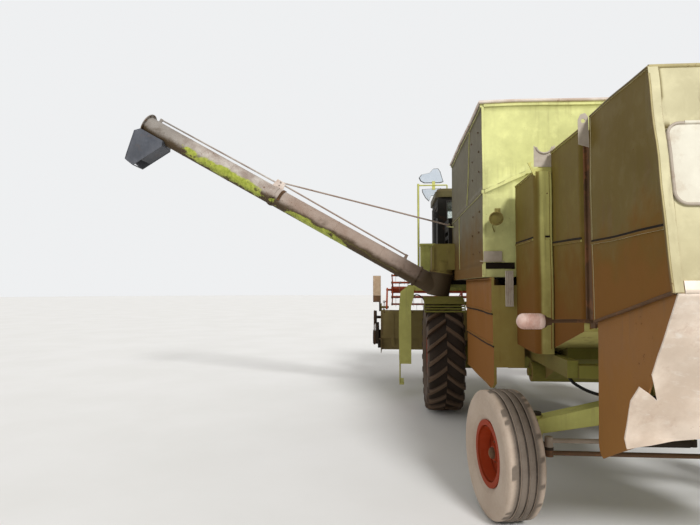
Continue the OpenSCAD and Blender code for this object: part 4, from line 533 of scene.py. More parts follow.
def augerPaint():
    # Bare dusty tube with paint left in a few bands along its rear side; painted shade darkens its lower half
    # and its foot end
    setup = augerSetup
    material, tree, surface, where = newMaterial("augerPaint", rough=0.7)
    rise = math.radians(setup["rise"])
    fromFoot = nodeIn(tree, "ShaderNodeVectorMath", operation="SUBTRACT")
    tree.links.new(where["Object"], fromFoot.inputs[0])
    fromFoot.inputs[1].default_value = at(*setup["foot"])

    def measure(direction):
        dot = nodeIn(tree, "ShaderNodeVectorMath", operation="DOT_PRODUCT")
        tree.links.new(fromFoot.outputs[0], dot.inputs[0])
        dot.inputs[1].default_value = direction
        return dot.outputs["Value"]

    along = measure((0, math.cos(rise), math.sin(rise)))
    height = mathIn(tree, "DIVIDE", measure((0, -math.sin(rise), math.cos(rise))), setup["radius"])
    tone = noiseIn(tree, where["Object"], 2.6, 6.0, 0.65)
    flakes = noiseIn(tree, where["Object"], 7.0, 8.0, 0.70, stretch=(1.0, 0.45, 0.8))
    ragged = times(tree, minus(tree, flakes, 0.5), 1.5)
    rear = rangeIn(tree, measure((-1, 0, 0)), -0.05, 0.03)
    green = None
    place, level = plus(tree, along, ragged), plus(tree, height, ragged)
    for start, end, low, high in setup["bands"]:
        length = times(tree, rangeIn(tree, place, start, start + 0.10), rangeIn(tree, place, end, end - 0.10))
        width = times(tree, rangeIn(tree, level, low, low + 0.16), rangeIn(tree, level, high, high - 0.22))
        band = times(tree, length, width)
        green = band if green is None else mathIn(tree, "MAXIMUM", green, band)
    green = times(tree, green, rear)
    colour = mixIn(tree, rangeIn(tree, tone, 0.34, 0.62), setup["dusty"], setup["pale"])
    colour = mixIn(tree, rangeIn(tree, along, 2.9, 2.2, 0.0, 0.72), colour, setup["brown"])
    colour = mixIn(tree, rangeIn(tree, along, 3.7, 4.4, 0.0, 0.75), colour, setup["tip"])
    # Flaked spots in the dark colour, more of them lower down: flaking, with painted shade towards the
    # underside
    worn = times(tree, rangeIn(tree, flakes, 0.52, 0.66, 0.0, 0.55), rangeIn(tree, height, 0.9, -0.2))
    colour = mixIn(tree, worn, colour, setup["under"])
    # Painted shade darkens the foot end of the tube
    colour = mixIn(tree, rangeIn(tree, along, 0.42, 0.20), colour, setup["under"])
    # Painted shade darkens the lower half of the tube
    shadedUnderside = rangeIn(tree, plus(tree, height, times(tree, ragged, 0.8)), 0.02, -0.48)
    colour = mixIn(tree, shadedUnderside, colour, setup["under"])
    paint = mixIn(tree, rangeIn(tree, noiseIn(tree, where["Object"], 18.0, 5.0), 0.35, 0.65), setup["green"],
        setup["bright"])
    colour = mixIn(tree, green, colour, paint)
    spots = groupIn(tree, chips, Scale=30.0, Amount=0.9)["Mask"]
    colour = mixIn(tree, spots, colour, (0.15, 0.075, 0.040))
    edges = groupIn(tree, edgeWear, Amount=0.6)["Mask"]
    colour = mixIn(tree, edges, colour, (0.24, 0.15, 0.10))
    tree.links.new(colour, surface.inputs["Base Color"])
    tree.links.new(rangeIn(tree, green, 0.0, 1.0, 0.82, 0.52), surface.inputs["Roughness"])
    bumpIn(tree, surface, plus(tree, tone, times(tree, green, 0.1)), 0.4, 0.008)
    return material


look["augerPaint"] = augerPaint()
print("materials made:", len(look))

# Mesh helpers: each adds to a bmesh, in the frame's metres

def box(bm, low, high):
    corners = [Vector((x, y, z)) for z in (low[2], high[2]) for x, y in (
        (low[0], low[1]), (high[0], low[1]), (high[0], high[1]), (low[0], high[1]))]
    verts = [bm.verts.new(corner) for corner in corners]
    for face in ((0, 3, 2, 1), (4, 5, 6, 7), (0, 1, 5, 4), (1, 2, 6, 5), (2, 3, 7, 6), (3, 0, 4, 7)):
        bm.faces.new([verts[i] for i in face])


def plate(bm, outline, thick):
    low = [bm.verts.new(point) for point in outline]
    high = [bm.verts.new(Vector(point) + Vector(thick)) for point in outline]
    bm.faces.new(low)
    bm.faces.new(high[::-1])
    for i in range(len(low)):
        j = (i + 1) % len(low)
        bm.faces.new((low[j], low[i], high[i], high[j]))


def circleOutline(radius, sides):
    return [(radius * math.cos(math.tau * i / sides), radius * math.sin(math.tau * i / sides))
        for i in range(sides)]


def tube(bm, points, radius, sides=10, outline=None, side=None, closed=False):
    points = [Vector(point) for point in points]
    outline = outline or circleOutline(radius, sides)
    count, rings = len(points), []
    for i, point in enumerate(points):
        if closed:
            ahead = (points[(i + 1) % count] - points[i - 1]).normalized()
        else:
            ahead = (points[min(i + 1, count - 1)] - points[max(i - 1, 0)]).normalized()
        side = ahead.orthogonal() if side is None else Vector(side)
        side = (side - ahead * side.dot(ahead)).normalized()
        up = ahead.cross(side)
        rings.append([bm.verts.new(point + side * u + up * v) for u, v in outline])
    pairs = list(zip(rings, rings[1:])) + ([(rings[-1], rings[0])] if closed else [])
    for low, high in pairs:
        for i in range(len(outline)):
            j = (i + 1) % len(outline)
            bm.faces.new((low[i], low[j], high[j], high[i]))
    if not closed:
        bm.faces.new(rings[0][::-1])
        bm.faces.new(rings[-1])


def turned(bm, profile, matrix, steps=48, closed=False):
    # Turns an outline of (radius, height) about local Z; a radius of 0 makes a pole
    rings = []
    for radius, height in profile:
        places = [(0.0, 0.0)] if radius < 1e-6 else circleOutline(radius, steps)
        rings.append([bm.verts.new(matrix @ Vector((u, v, height))) for u, v in places])
    for low, high in list(zip(rings, rings[1:])) + ([(rings[-1], rings[0])] if closed else []):
        for i in range(steps):
            j = (i + 1) % steps
            corners = [low[i % len(low)], low[j % len(low)], high[j % len(high)], high[i % len(high)]]
            corners = list(dict.fromkeys(corners))
            if len(corners) > 2:
                bm.faces.new(corners)


def lathe(*given, **values):
    bm = bmesh.new()
    turned(bm, *given, **values)
    return bm


def bothEnds(half):
    # A turned outline whose upper half mirrors the given lower one
    return half + [(radius, -height) for radius, height in half[::-1]]


def bend(points, step=0.02):
    # A smooth line through a few points
    points = [Vector(point) for point in points]
    ends = [points[0] * 2 - points[1]] + points + [points[-1] * 2 - points[-2]]
    line = []
    for a, b, c, d in zip(ends, ends[1:], ends[2:], ends[3:]):
        parts = max(2, int((c - b).length / step))
        for i in range(parts):
            t = i / parts
            line.append(0.5 * (2 * b + (c - a) * t + (2 * a - 5 * b + 4 * c - d) * t * t
                + (3 * b - a - 3 * c + d) * t ** 3))
    return line + [points[-1]]


def lookAlong(direction, up=(0, 0, 1)):
    z = Vector(direction).normalized()
    up = Vector(up) if abs(z.dot(Vector(up))) < 0.99 else Vector((1, 0, 0))
    x = up.cross(z).normalized()
    return Matrix((x, z.cross(x), z)).transposed().to_4x4()


def aimed(place, direction, up=(0, 0, 1)):
    # Stands at a place, its Z along a direction
    return Matrix.Translation(place) @ lookAlong(direction, up)


def keep(name, target, finish, body, sharp=38, edge=0.0, replaced=()):
    # Makes a riding piece from a bmesh or a mesh, its edges rounded where edge gives a width
    if isinstance(target, bmesh.types.BMesh):
        bmesh.ops.remove_doubles(target, verts=target.verts, dist=1e-6)
        bmesh.ops.recalc_face_normals(target, faces=target.faces)
        mesh = bpy.data.meshes.new(name)
        target.to_mesh(mesh)
        target.free()
    else:
        mesh = target
    for vert in mesh.vertices:
        vert.co = [min(max(value, low), high) for value, low, high in zip(vert.co, *cadBox)]
    mesh.materials.clear()
    mesh.materials.append(look[finish])
    mesh.polygons.foreach_set("use_smooth", [True] * len(mesh.polygons))
    mesh.set_sharp_from_angle(angle=math.radians(sharp))
    piece = bpy.data.objects.new(name, mesh)
    scene.collection.objects.link(piece)
    if edge:
        rounding = piece.modifiers.new("rounding", "BEVEL")
        rounding.width, rounding.segments = edge, 2
        rounding.limit_method, rounding.angle_limit = "ANGLE", math.radians(35)
        rounding.harden_normals = True
    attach(piece, body)
    if replaced:
        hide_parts(*replaced)
    return piece


def bodyOf(node):
    return next(body for body, found in frame["record"]["behaviour"]["bodies"].items() if node in found)


# Geometry Nodes: copies of one shape on marked spots, and copies round an axis

def newTree(name, inputs):
    # A word in place of a number names the kind of socket
    tree = bpy.data.node_groups.new(name, "GeometryNodeTree")
    for key, value in {"Geometry": "Geometry", **inputs, "Finish": "Material"}.items():
        kind = value if isinstance(value, str) else type(value).__name__.capitalize()
        socket = tree.interface.new_socket(name=key, in_out="INPUT", socket_type="NodeSocket" + kind)
        if not isinstance(value, str):
            socket.default_value = value
    tree.interface.new_socket(name="Geometry", in_out="OUTPUT", socket_type="NodeSocketGeometry")
    return tree, tree.nodes.new("NodeGroupInput").outputs, tree.nodes.new("NodeGroupOutput").inputs


def closeTree(tree, given, result, geometry):
    realize = nodeIn(tree, "GeometryNodeRealizeInstances")
    finish = nodeIn(tree, "GeometryNodeSetMaterial")
    tree.links.new(geometry, realize.inputs[0])
    tree.links.new(realize.outputs[0], finish.inputs["Geometry"])
    tree.links.new(given["Finish"], finish.inputs["Material"])
    tree.links.new(finish.outputs[0], result["Geometry"])
    return tree


def makeSpotTree():
    values = {"Shape": "Object", "Size": 1.0, "Unevenness": 0.04, "Seed": 3}
    tree, given, result = newTree("copiesOnSpots", values)
    shape = nodeIn(tree, "GeometryNodeObjectInfo")
    tree.links.new(given["Shape"], shape.inputs["Object"])
    turn = nodeIn(tree, "GeometryNodeInputNamedAttribute", data_type="FLOAT_VECTOR")
    turn.inputs["Name"].default_value = "turn"
    rotation = nodeIn(tree, "FunctionNodeEulerToRotation")
    tree.links.new(turn.outputs["Attribute"], rotation.inputs[0])
    uneven = nodeIn(tree, "FunctionNodeRandomValue", data_type="FLOAT")
    floats = [socket for socket in uneven.inputs if socket.type == "VALUE" and socket.name in ("Min", "Max")]
    tree.links.new(minus(tree, 1.0, given["Unevenness"]), floats[0])
    tree.links.new(plus(tree, 1.0, given["Unevenness"]), floats[1])
    tree.links.new(given["Seed"], uneven.inputs["Seed"])
    value = next(socket for socket in uneven.outputs if socket.type == "VALUE" and socket.enabled)
    size = times(tree, value, given["Size"])
    copies = nodeIn(tree, "GeometryNodeInstanceOnPoints")
    tree.links.new(given["Geometry"], copies.inputs["Points"])
    tree.links.new(shape.outputs["Geometry"], copies.inputs["Instance"])
    tree.links.new(rotation.outputs[0], copies.inputs["Rotation"])
    tree.links.new(size, copies.inputs["Scale"])
    return closeTree(tree, given, result, copies.outputs[0])


def makeRingTree():
    tree, given, result = newTree("copiesRoundAxis", {"Shape": "Object", "Count": 12, "Phase": 0.0})
    shape = nodeIn(tree, "GeometryNodeObjectInfo")
    tree.links.new(given["Shape"], shape.inputs["Object"])
    points = nodeIn(tree, "GeometryNodePoints")
    tree.links.new(given["Count"], points.inputs["Count"])
    index = nodeIn(tree, "GeometryNodeInputIndex")
    angle = times(tree, plus(tree, index.outputs[0], given["Phase"]),
        mathIn(tree, "DIVIDE", math.tau, given["Count"]))
    euler = nodeIn(tree, "ShaderNodeCombineXYZ")
    tree.links.new(angle, euler.inputs["Z"])
    rotation = nodeIn(tree, "FunctionNodeEulerToRotation")
    tree.links.new(euler.outputs[0], rotation.inputs[0])
    copies = nodeIn(tree, "GeometryNodeInstanceOnPoints")
    tree.links.new(points.outputs[0], copies.inputs["Points"])
    tree.links.new(shape.outputs["Geometry"], copies.inputs["Instance"])
    tree.links.new(rotation.outputs[0], copies.inputs["Rotation"])
    join = nodeIn(tree, "GeometryNodeJoinGeometry")
    tree.links.new(copies.outputs[0], join.inputs[0])
    tree.links.new(given["Geometry"], join.inputs[0])
    return closeTree(tree, given, result, join.outputs[0])


def makeFlightTree():
    # A helical blade about local Z from the grid it is given: X of the grid runs along, Y outward
    values = {"Inner": 0.1, "Outer": 0.2, "Length": 1.0, "Pitch": 0.3, "Hand": 1.0}
    tree, given, result = newTree("flightBlade", values)
    place = nodeIn(tree, "GeometryNodeInputPosition")
    split = nodeIn(tree, "ShaderNodeSeparateXYZ")
    tree.links.new(place.outputs[0], split.inputs[0])
    along = times(tree, plus(tree, split.outputs["X"], 0.5), given["Length"])
    radius = plus(tree, given["Inner"], times(tree, plus(tree, split.outputs["Y"], 0.5),
        minus(tree, given["Outer"], given["Inner"])))
    angle = times(tree, times(tree, along, given["Hand"]),
        mathIn(tree, "DIVIDE", math.tau, given["Pitch"]))
    moved = nodeIn(tree, "ShaderNodeCombineXYZ")
    tree.links.new(times(tree, radius, mathIn(tree, "COSINE", angle)), moved.inputs["X"])
    tree.links.new(times(tree, radius, mathIn(tree, "SINE", angle)), moved.inputs["Y"])
    tree.links.new(along, moved.inputs["Z"])
    setting = nodeIn(tree, "GeometryNodeSetPosition")
    tree.links.new(given["Geometry"], setting.inputs["Geometry"])
    tree.links.new(moved.outputs[0], setting.inputs["Position"])
    return closeTree(tree, given, result, setting.outputs[0])


spotTree, ringTree, flightTree = makeSpotTree(), makeRingTree(), makeFlightTree()


def runTree(tree, base, finish, **values):
    # Gives a base mesh to a tree and returns the plain mesh that comes out
    worked = bpy.data.objects.new("worked", base)
    scene.collection.objects.link(worked)
    modifier = worked.modifiers.new("tree", "NODES")
    modifier.node_group = tree
    values["Finish"] = look[finish]
    for item in tree.interface.items_tree:
        if item.item_type == "SOCKET" and item.in_out == "INPUT" and item.name in values:
            modifier[item.identifier] = values[item.name]
    made = bpy.data.meshes.new_from_object(worked.evaluated_get(bpy.context.evaluated_depsgraph_get()))
    worked.modifiers.clear()
    bpy.data.objects.remove(worked)
    if "turn" in made.attributes:
        made.attributes.remove(made.attributes["turn"])
    return made


def shapeFrom(bm):
    bmesh.ops.recalc_face_normals(bm, faces=bm.faces)
    mesh = bpy.data.meshes.new("shape")
    bm.to_mesh(mesh)
    bm.free()
    shape = bpy.data.objects.new("shape", mesh)
    scene.collection.objects.link(shape)
    return shape


def placeCopies(name, bm, spots, finish, body, size=1.0, uneven=0.04, seed=3, sharp=38):
    # spots are (place, direction that the shape's Z takes, direction of its Y)
    shape = shapeFrom(bm)
    base = bpy.data.meshes.new("spots")
    base.from_pydata([tuple(spot[0]) for spot in spots], [], [])
    turns = base.attributes.new("turn", "FLOAT_VECTOR", "POINT")
    for i, spot in enumerate(spots):
        up = spot[2] if len(spot) > 2 else (0, 0, 1)
        turns.data[i].vector = lookAlong(spot[1], up).to_euler()
    made = runTree(spotTree, base, finish, Shape=shape, Size=size, Unevenness=uneven, Seed=seed)
    bpy.data.objects.remove(shape)
    return keep(name, made, finish, body, sharp=sharp)


def ringCopies(bm, base, count, finish, phase=0.0):
    shape = shapeFrom(bm)
    bmesh.ops.recalc_face_normals(base, faces=base.faces)
    mesh = bpy.data.meshes.new("base")
    base.to_mesh(mesh)
    base.free()
    made = runTree(ringTree, mesh, finish, Shape=shape, Count=count, Phase=phase)
    bpy.data.objects.remove(shape)
    return made


def flight(name, matrix, inner, outer, length, pitch, hand, thick, finish, body, replaced=()):
    turns = length / pitch
    bm = bmesh.new()
    bmesh.ops.create_grid(bm, x_segments=max(8, int(28 * turns)), y_segments=3, size=0.5)
    mesh = bpy.data.meshes.new("flight")
    bm.to_mesh(mesh)
    bm.free()
    made = runTree(flightTree, mesh, finish, Inner=inner, Outer=outer, Length=length, Pitch=pitch,
        Hand=float(hand))
    made.transform(matrix)
    piece = keep(name, made, finish, body, sharp=60, replaced=replaced)
    wall = piece.modifiers.new("wall", "SOLIDIFY")
    wall.thickness, wall.offset = thick, 0.0
    return piece


def boltShape(radius=0.012, height=0.009):
    shares = [(0, 0), (1.5, 0), (1.5, 0.22), (1, 0.24), (1, 0.85), (0.82, 1), (0, 1)]
    return lathe([(radius * u, height * v) for u, v in shares], Matrix(), steps=6)


def row(start, end, step):
    start, end = Vector(start), Vector(end)
    count = max(1, round((end - start).length / step))
    return [start.lerp(end, i / count) for i in range(count + 1)]


def loopRow(corners, step):
    # Even places along a closed line through some corners
    pairs = zip(corners, corners[1:] + corners[:1])
    return [place for a, b in pairs for place in row(a, b, step)[:-1]]


def rectangle(u, v):
    return [(-u, -v), (u, -v), (u, v), (-u, v)]


def sideBox(bm, side, low, high):
    # A box given for the left side, mirrored for the right one
    near, far = sorted((side * low[1], side * high[1]))
    box(bm, at(low[0], near, low[2]), at(high[0], far, high[2]))




# Sheet metal: a CAD shape cut into a fine grid and buckled by one field that all sheets share
buckleSetup = {"cell": 0.075, "broad": 0.62, "fine": 0.19, "amount": 0.0075, "fineShare": 0.22,
    "seed": (3.1, 7.7, 1.3), "foot": 0.95, "hatchHinge": (-4.764, 2.370), "guardHinge": (1.001, 1.686),
    "calm": 0.14}
noise.seed_set(5)  # without a seed, noise_vector takes its offsets from the clock
dents = [  # place, radius, push
    ((-4.66, 0.67, 2.20), 0.20, (0.0, -0.012, 0.0)), ((-4.30, 0.68, 2.05), 0.30, (0.0, -0.014, 0.0)),
    ((-4.25, 0.68, 2.45), 0.26, (0.0, 0.012, 0.0)), ((-2.80, 0.80, 1.75), 0.22, (0.0, -0.014, 0.0)),
    ((-2.33, 0.55, 2.95), 0.35, (-0.010, 0.0, 0.0)), ((-2.33, -0.35, 3.05), 0.40, (0.012, 0.0, 0.0)),
    ((-4.80, 0.40, 2.15), 0.16, (0.022, 0.0, 0.0)), ((-4.69, 0.675, 2.17), 0.10, (0.0, -0.014, 0.0)),
    ((-1.90, 1.00, 1.30), 0.26, (0.0, -0.014, 0.0)),
]


def buckle(place, amount):
    seed = Vector(buckleSetup["seed"])
    push = noise.noise_vector(place / buckleSetup["broad"] + seed) * amount
    push += noise.noise_vector(place / buckleSetup["fine"] + seed) * amount * buckleSetup["fineShare"]
    if place.z < buckleSetup["foot"]:
        push *= max(0.0, place.z / buckleSetup["foot"])
    # Sheets stay true beside the hinges of the hatch and the side guards
    (hatchX, hatchZ), (guardY, guardZ) = buckleSetup["hatchHinge"], buckleSetup["guardHinge"]
    fromHatch = math.hypot(place.x - shiftX - hatchX, place.z - hatchZ)
    fromGuard = math.hypot(abs(place.y - shiftY) - guardY, place.z - guardZ)
    away = min(fromHatch, fromGuard)
    return push * min(1.0, max(0.0, (away - 0.05) / buckleSetup["calm"]))


def pushDents(place):
    push = Vector()
    for centre, radius, direction in dents:
        far = (place - at(*centre)).length / radius
        if far < 1:
            push += Vector(direction) * (1 - far * far) ** 2
    return push


def gridded(node, cell):
    bm = bmesh.new()
    bm.from_mesh(nodes[node].data)
    bmesh.ops.remove_doubles(bm, verts=bm.verts, dist=1e-5)
    bmesh.ops.dissolve_limit(bm, angle_limit=math.radians(0.5), verts=bm.verts, edges=bm.edges)
    low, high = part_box(node)
    for axis in range(3):
        normal = Vector([1.0 if i == axis else 0.0 for i in range(3)])
        parts = int((high[axis] - low[axis]) / cell)
        for i in range(1, parts):
            spot = Vector(low)
            spot[axis] += (high[axis] - low[axis]) * i / parts
            bmesh.ops.bisect_plane(bm, geom=bm.verts[:] + bm.edges[:] + bm.faces[:], plane_co=spot,
                plane_no=normal, dist=1e-5)
    return bm


def sheetMetal(node, finish, amount=1.0, cell=None, edge=0.0, more=None):
    bm = gridded(node, cell or buckleSetup["cell"])
    strength = buckleSetup["amount"] * amount
    for vert in bm.verts:
        place = vert.co.copy()
        vert.co = place + buckle(place, strength) + pushDents(place) + (more(place) if more else Vector())
    return keep(node + "_sheet", bm, finish, bodyOf(node), sharp=30, edge=edge, replaced=(node,))


# Wheels

wheelSetup = {"front": (0.0, 1.24, 0.72), "frontWidth": 0.47, "lugs": 22, "king": (-3.32, 0.872),
    "spindle": 0.25, "rearHeight": 0.4425, "rearWidth": 0.27, "steer": 11.0}
frontHalf = [(0.391, 0.33), (0.399, 0.362), (0.424, 0.372), (0.440, 0.410), (0.490, 0.462), (0.545, 0.486),
    (0.600, 0.484), (0.640, 0.462), (0.664, 0.430), (0.676, 0.370), (0.682, 0.250), (0.684, 0.100),
    (0.684, 0.0)]
rearHalf = [(0.2055, 0.33), (0.212, 0.362), (0.238, 0.372), (0.250, 0.410), (0.262, 0.440), (0.266, 0.452),
    (0.272, 0.452), (0.285, 0.470), (0.325, 0.498), (0.360, 0.499), (0.385, 0.490), (0.389, 0.494),
    (0.395, 0.485), (0.412, 0.470), (0.424, 0.452), (0.4335, 0.425), (0.4365, 0.400), (0.4380, 0.250),
    (0.4360, 0.240), (0.4255, 0.232), (0.4255, 0.182), (0.4385, 0.172), (0.4405, 0.162), (0.4420, 0.044),
    (0.4400, 0.034), (0.4290, 0.027), (0.4290, 0.0)]
lugStations = [(0.004, -1.2, 0.7200, 0.670), (0.060, 0.6, 0.7205, 0.670), (0.130, 2.9, 0.7205, 0.670),
    (0.210, 5.4, 0.7200, 0.668), (0.290, 7.8, 0.7190, 0.664), (0.360, 9.9, 0.7165, 0.656),
    (0.420, 11.6, 0.7110, 0.644), (0.462, 12.9, 0.7010, 0.628), (0.488, 13.7, 0.6840, 0.612),
    (0.498, 14.1, 0.6600, 0.600), (0.496, 14.3, 0.6250, 0.590)]


def wheelMatrix(side, front):
    if front:
        spin, centre = Matrix(), mirrored(wheelSetup["front"], side)
    else:
        spin = Matrix.Rotation(math.radians(wheelSetup["steer"]), 4, "Z")
        king = mirrored((*wheelSetup["king"], wheelSetup["rearHeight"]), side)
        centre = king + spin @ Vector((0, side * wheelSetup["spindle"], 0))
    x, z = spin @ Vector((1, 0, 0)), spin @ Vector((0, side, 0))
    return Matrix.Translation(centre) @ Matrix((x, z.cross(x), z)).transposed().to_4x4()


def wholeOutline(half, width):
    outer = [(radius, share * width) for radius, share in half]
    return outer + [(radius, -height) for radius, height in outer[-2::-1]]


def lugPair(side):
    bm = bmesh.new()
    width, pitch = wheelSetup["frontWidth"], math.tau / wheelSetup["lugs"]
    for half in (-1, 1):
        rings = []
        for share, turn, top, foot in lugStations:
            middle = (pitch / 2 if half > 0 else 0.0) - side * math.radians(turn)
            ring = []
            for radius, wide in ((foot, -0.036), (top - 0.004, -0.023), (top, -0.019), (top, 0.019),
                    (top - 0.004, 0.023), (foot, 0.036)):
                angle = middle + wide / radius
                ring.append(bm.verts.new((radius * math.cos(angle), radius * math.sin(angle),
                    half * share * width)))
            rings.append(ring)
        for low, high in zip(rings, rings[1:]):
            for i in range(6):
                j = (i + 1) % 6
                bm.faces.new((low[i], low[j], high[j], high[i]))
        bm.faces.new(rings[0][::-1])
        bm.faces.new(rings[-1])
    return bm


def nutShape(matrix, radius, height):
    shares = [(0, 0), (1.35, 0), (1.35, 0.16), (1, 0.2), (1, 0.8), (0.8, 1), (0.45, 1), (0.4, 1.45), (0, 1.5)]
    return lathe([(radius * u, height * v) for u, v in shares], matrix, steps=6)


# From where a tyre is sidewall (distance across, radius) and from where its worn top (radius)
wearSetups = {"front": (0.224, 0.655, 0.700), "rear": (0.108, 0.42, 0.4335)}

# Hub caps, and the ring of nuts round each
hubSetups = {
    "front": {"cap": [(0.0, 0.0), (0.088, 0.0), (0.088, 0.122), (0.078, 0.128), (0.05, 0.132), (0.0, 0.134)],
        "steps": 32, "nuts": 10, "nutAt": (0.165, 0, 0.050), "nut": (0.016, 0.020), "finish": "workedSteel"},
    "rear": {"cap": [(0.0, 0.03), (0.040, 0.03), (0.040, 0.076), (0.034, 0.086), (0.018, 0.094),
        (0.0, 0.096)], "steps": 28, "nuts": 6, "nutAt": (0.078, 0, 0.026), "nut": (0.011, 0.014),
        "finish": "rustyIron"},
}


def addTyre(kind, word, target, matrix, sharp):
    # Its rubber reads from "wear" how worn each place is: 0 in grooves, 0.5 on sidewalls, 1 on top
    piece = keep(kind + "_tyre_" + word, target, kind + "Rubber", "wheel_" + kind + "_" + word, sharp=sharp,
        replaced=("tyre_" + kind + "_" + word,))
    wide, foot, top = wearSetups[kind]
    back = matrix.inverted()
    wear = piece.data.attributes.new("wear", "FLOAT", "POINT")
    for vert in piece.data.vertices:
        place = back @ vert.co
        radius = math.hypot(place.x, place.y)
        sidewall = abs(place.z) > wide or radius < foot
        wear.data[vert.index].value = 0.5 if sidewall else float(radius > top)


def addHub(kind, word, matrix):
    setup = hubSetups[kind]
    cap = lathe(setup["cap"], Matrix(), steps=setup["steps"])
    nut = nutShape(Matrix.Translation(setup["nutAt"]), *setup["nut"])
    made = ringCopies(nut, cap, setup["nuts"], setup["finish"])
    made.transform(matrix)
    keep(kind + "_nuts_" + word, made, setup["finish"], "wheel_" + kind + "_" + word)


for side, word in sides:
    matrix = wheelMatrix(side, True)
    carcass = lathe(wholeOutline(frontHalf, wheelSetup["frontWidth"]), Matrix(), steps=88, closed=True)
    made = ringCopies(lugPair(side), carcass, wheelSetup["lugs"], "frontRubber")
    made.transform(matrix)
    addTyre("front", word, made, matrix, 42)
    addHub("front", word, matrix)

    matrix = wheelMatrix(side, False)
    tread = lathe(wholeOutline(rearHalf, wheelSetup["rearWidth"]), matrix, steps=96, closed=True)
    addTyre("rear", word, tread, matrix, 50)
    addHub("rear", word, matrix)
    ring = lathe([(0.160, 0.030), (0.166, 0.030), (0.186, 0.096), (0.182, 0.100)], matrix, steps=48,
        closed=True)
    keep("rear_rim_ring_" + word, ring, "rimPaint", "wheel_rear_" + word)
print("wheels made")

# Buckled sheets in place of the plain ones

def crumple(place):
    # The apron: rolls and creases that grow towards its torn foot
    low = min(1.0, max(0.0, (1.62 - place.z) / 0.8))
    creases = abs(noise.noise(place * 3.6 + Vector((4.0, 1.0, 9.0)))) * 2 - 0.35
    fine = noise.noise(place * 11.0)
    return Vector((-0.030 * low * creases - 0.007 * low * fine, 0.012 * low * noise.noise(place * 2.2),
        0.008 * low * fine))


sheets = [("straw_hood", "hoodPaint", 1.0, 0.075), ("walker_housing", "bodyPaint", 0.9, 0.075),
    ("threshing_body", "bodyPaint", 0.12, 0.12), ("tank_sides", "tankPaint", 0.9, 0.09),
    ("tank_ends", "tankPaint", 0.9, 0.09), ("hood_skirts", "skirtPaint", 1.5, 0.06),
    ("rear_hatch", "paleSheet", 1.0, 0.06), ("guard_left", "guardPaint", 1.2, 0.07),
    ("guard_right", "guardPaint", 1.2, 0.07), ("engine_bay", "darkIron", 0.3, 0.15),
    ("feeder_house", "bodyPaint", 0.12, 0.12), ("header_trough", "troughPaint", 0.4, 0.12),
    ("platform", "freshPaint", 0.3, 0.15), ("auger_elbow", "elbowPaint", 0.5, 0.06),
    ("grain_elevator", "guardPaint", 0.6, 0.09), ("cab_roof", "roofPaint", 0.4, 0.12),
    ("ladder", "freshPaint", 0.4, 0.09)]
for node, finish, amount, cell in sheets:
    sheetMetal(node, finish, amount, cell)
sheetMetal("rear_apron", "bareSheet", 1.0, 0.035, more=crumple)
print("sheets buckled:", len(sheets) + 1)


def onSheet(place, amount=1.0):
    place = Vector(place)
    return place + buckle(place, buckleSetup["amount"] * amount) + pushDents(place)


def sheetRow(start, end, step=0.08, amount=1.0):
    return [onSheet(place, amount) for place in row(start, end, step)]


def lipAlong(bm, start, end, wide, high, amount=1.0, side=(0, 0, 1)):
    tube(bm, sheetRow(start, end, amount=amount), 0, outline=rectangle(high / 2, wide / 2), side=side)


hoodSetup = {"low": (-4.9, 1.59), "slope": (0.1837, 0.9830), "front": -3.945, "back": -4.838, "half": 0.675,
    "top": 2.66, "crest": -4.70, "seam": 1.885, "mouth": 1.40}


def onFace(up, y, out):
    # A place on the hood's sloping rear face
    sx, sz = hoodSetup["slope"]
    return at(hoodSetup["low"][0] + up * sx - out * sz, y, hoodSetup["low"][1] + up * sz + out * sx)


# Hood: side seams with a dark strip of painted shade along each, rolled lower edges, folded top edges, the
# hatch's lip
lips, rolls, lowRolls, gapShadeStrips, bolts = bmesh.new(), bmesh.new(), bmesh.new(), bmesh.new(), []
front, back, crest = hoodSetup["front"], hoodSetup["back"], hoodSetup["crest"]
half, top, seam = hoodSetup["half"], hoodSetup["top"], hoodSetup["seam"]
strips = ((gapShadeStrips, 0.001, 0.008, 0.006, 0.012), (lips, 0.004, -0.006, 0.011, 0.014))
for side in (1, -1):
    y = side * half
    for bm, out, lift, wide, high in strips:
        start, end = at(front, y + side * out, seam + lift), at(back, y + side * out, seam + lift)
        lipAlong(bm, start, end, wide, high)
    x, inner = front - 0.003, y - side * 0.002
    lipAlong(lips, at(x, inner, hoodSetup["mouth"]), at(x, inner, top - 0.01), 0.012, 0.016, side=(1, 0, 0))
    tube(lowRolls, sheetRow(at(front - 0.005, y, 1.404), at(-4.893, y, 1.590)), 0.009)
    tube(rolls, sheetRow(at(front, y, top - 0.002), at(crest, y, top - 0.002)), 0.008)
    tube(rolls, [onSheet(onFace(i * 0.07, y + side * 0.004, 0.004)) for i in range(16)], 0.0075)
tube(rolls, sheetRow(at(crest, -half, top), at(crest, half, top), 0.09), 0.010)
keep("hood_lips", lips, "hoodPaint", "chassis")
keep("hood_rolls", rolls, "foldedEdge", "chassis")
keep("hood_low_rolls", lowRolls, "rustyIron", "chassis")

hatchSetup = {"corner": 0.06, "low": 0.40, "high": 0.79, "half": 0.625}
corner = hatchSetup["corner"]
ringPoints = []
for high, y, start in ((True, 1, 0), (True, -1, 270), (False, -1, 180), (False, 1, 90)):
    cx = hatchSetup["high"] - corner if high else hatchSetup["low"] + corner
    cy = y * (hatchSetup["half"] - corner)
    for i in range(7):
        angle = math.radians(start + 90 - i * 15)
        ringPoints.append((cx + corner * math.cos(angle), cy + corner * math.sin(angle), 0))
hatchLip = bmesh.new()
tube(hatchLip, [onSheet(onFace(point.x, point.y, 0.009)) for point in loopRow(ringPoints, 0.08)], 0.0075,
    closed=True)
keep("hatch_lip", hatchLip, "greySheet", "hatch")

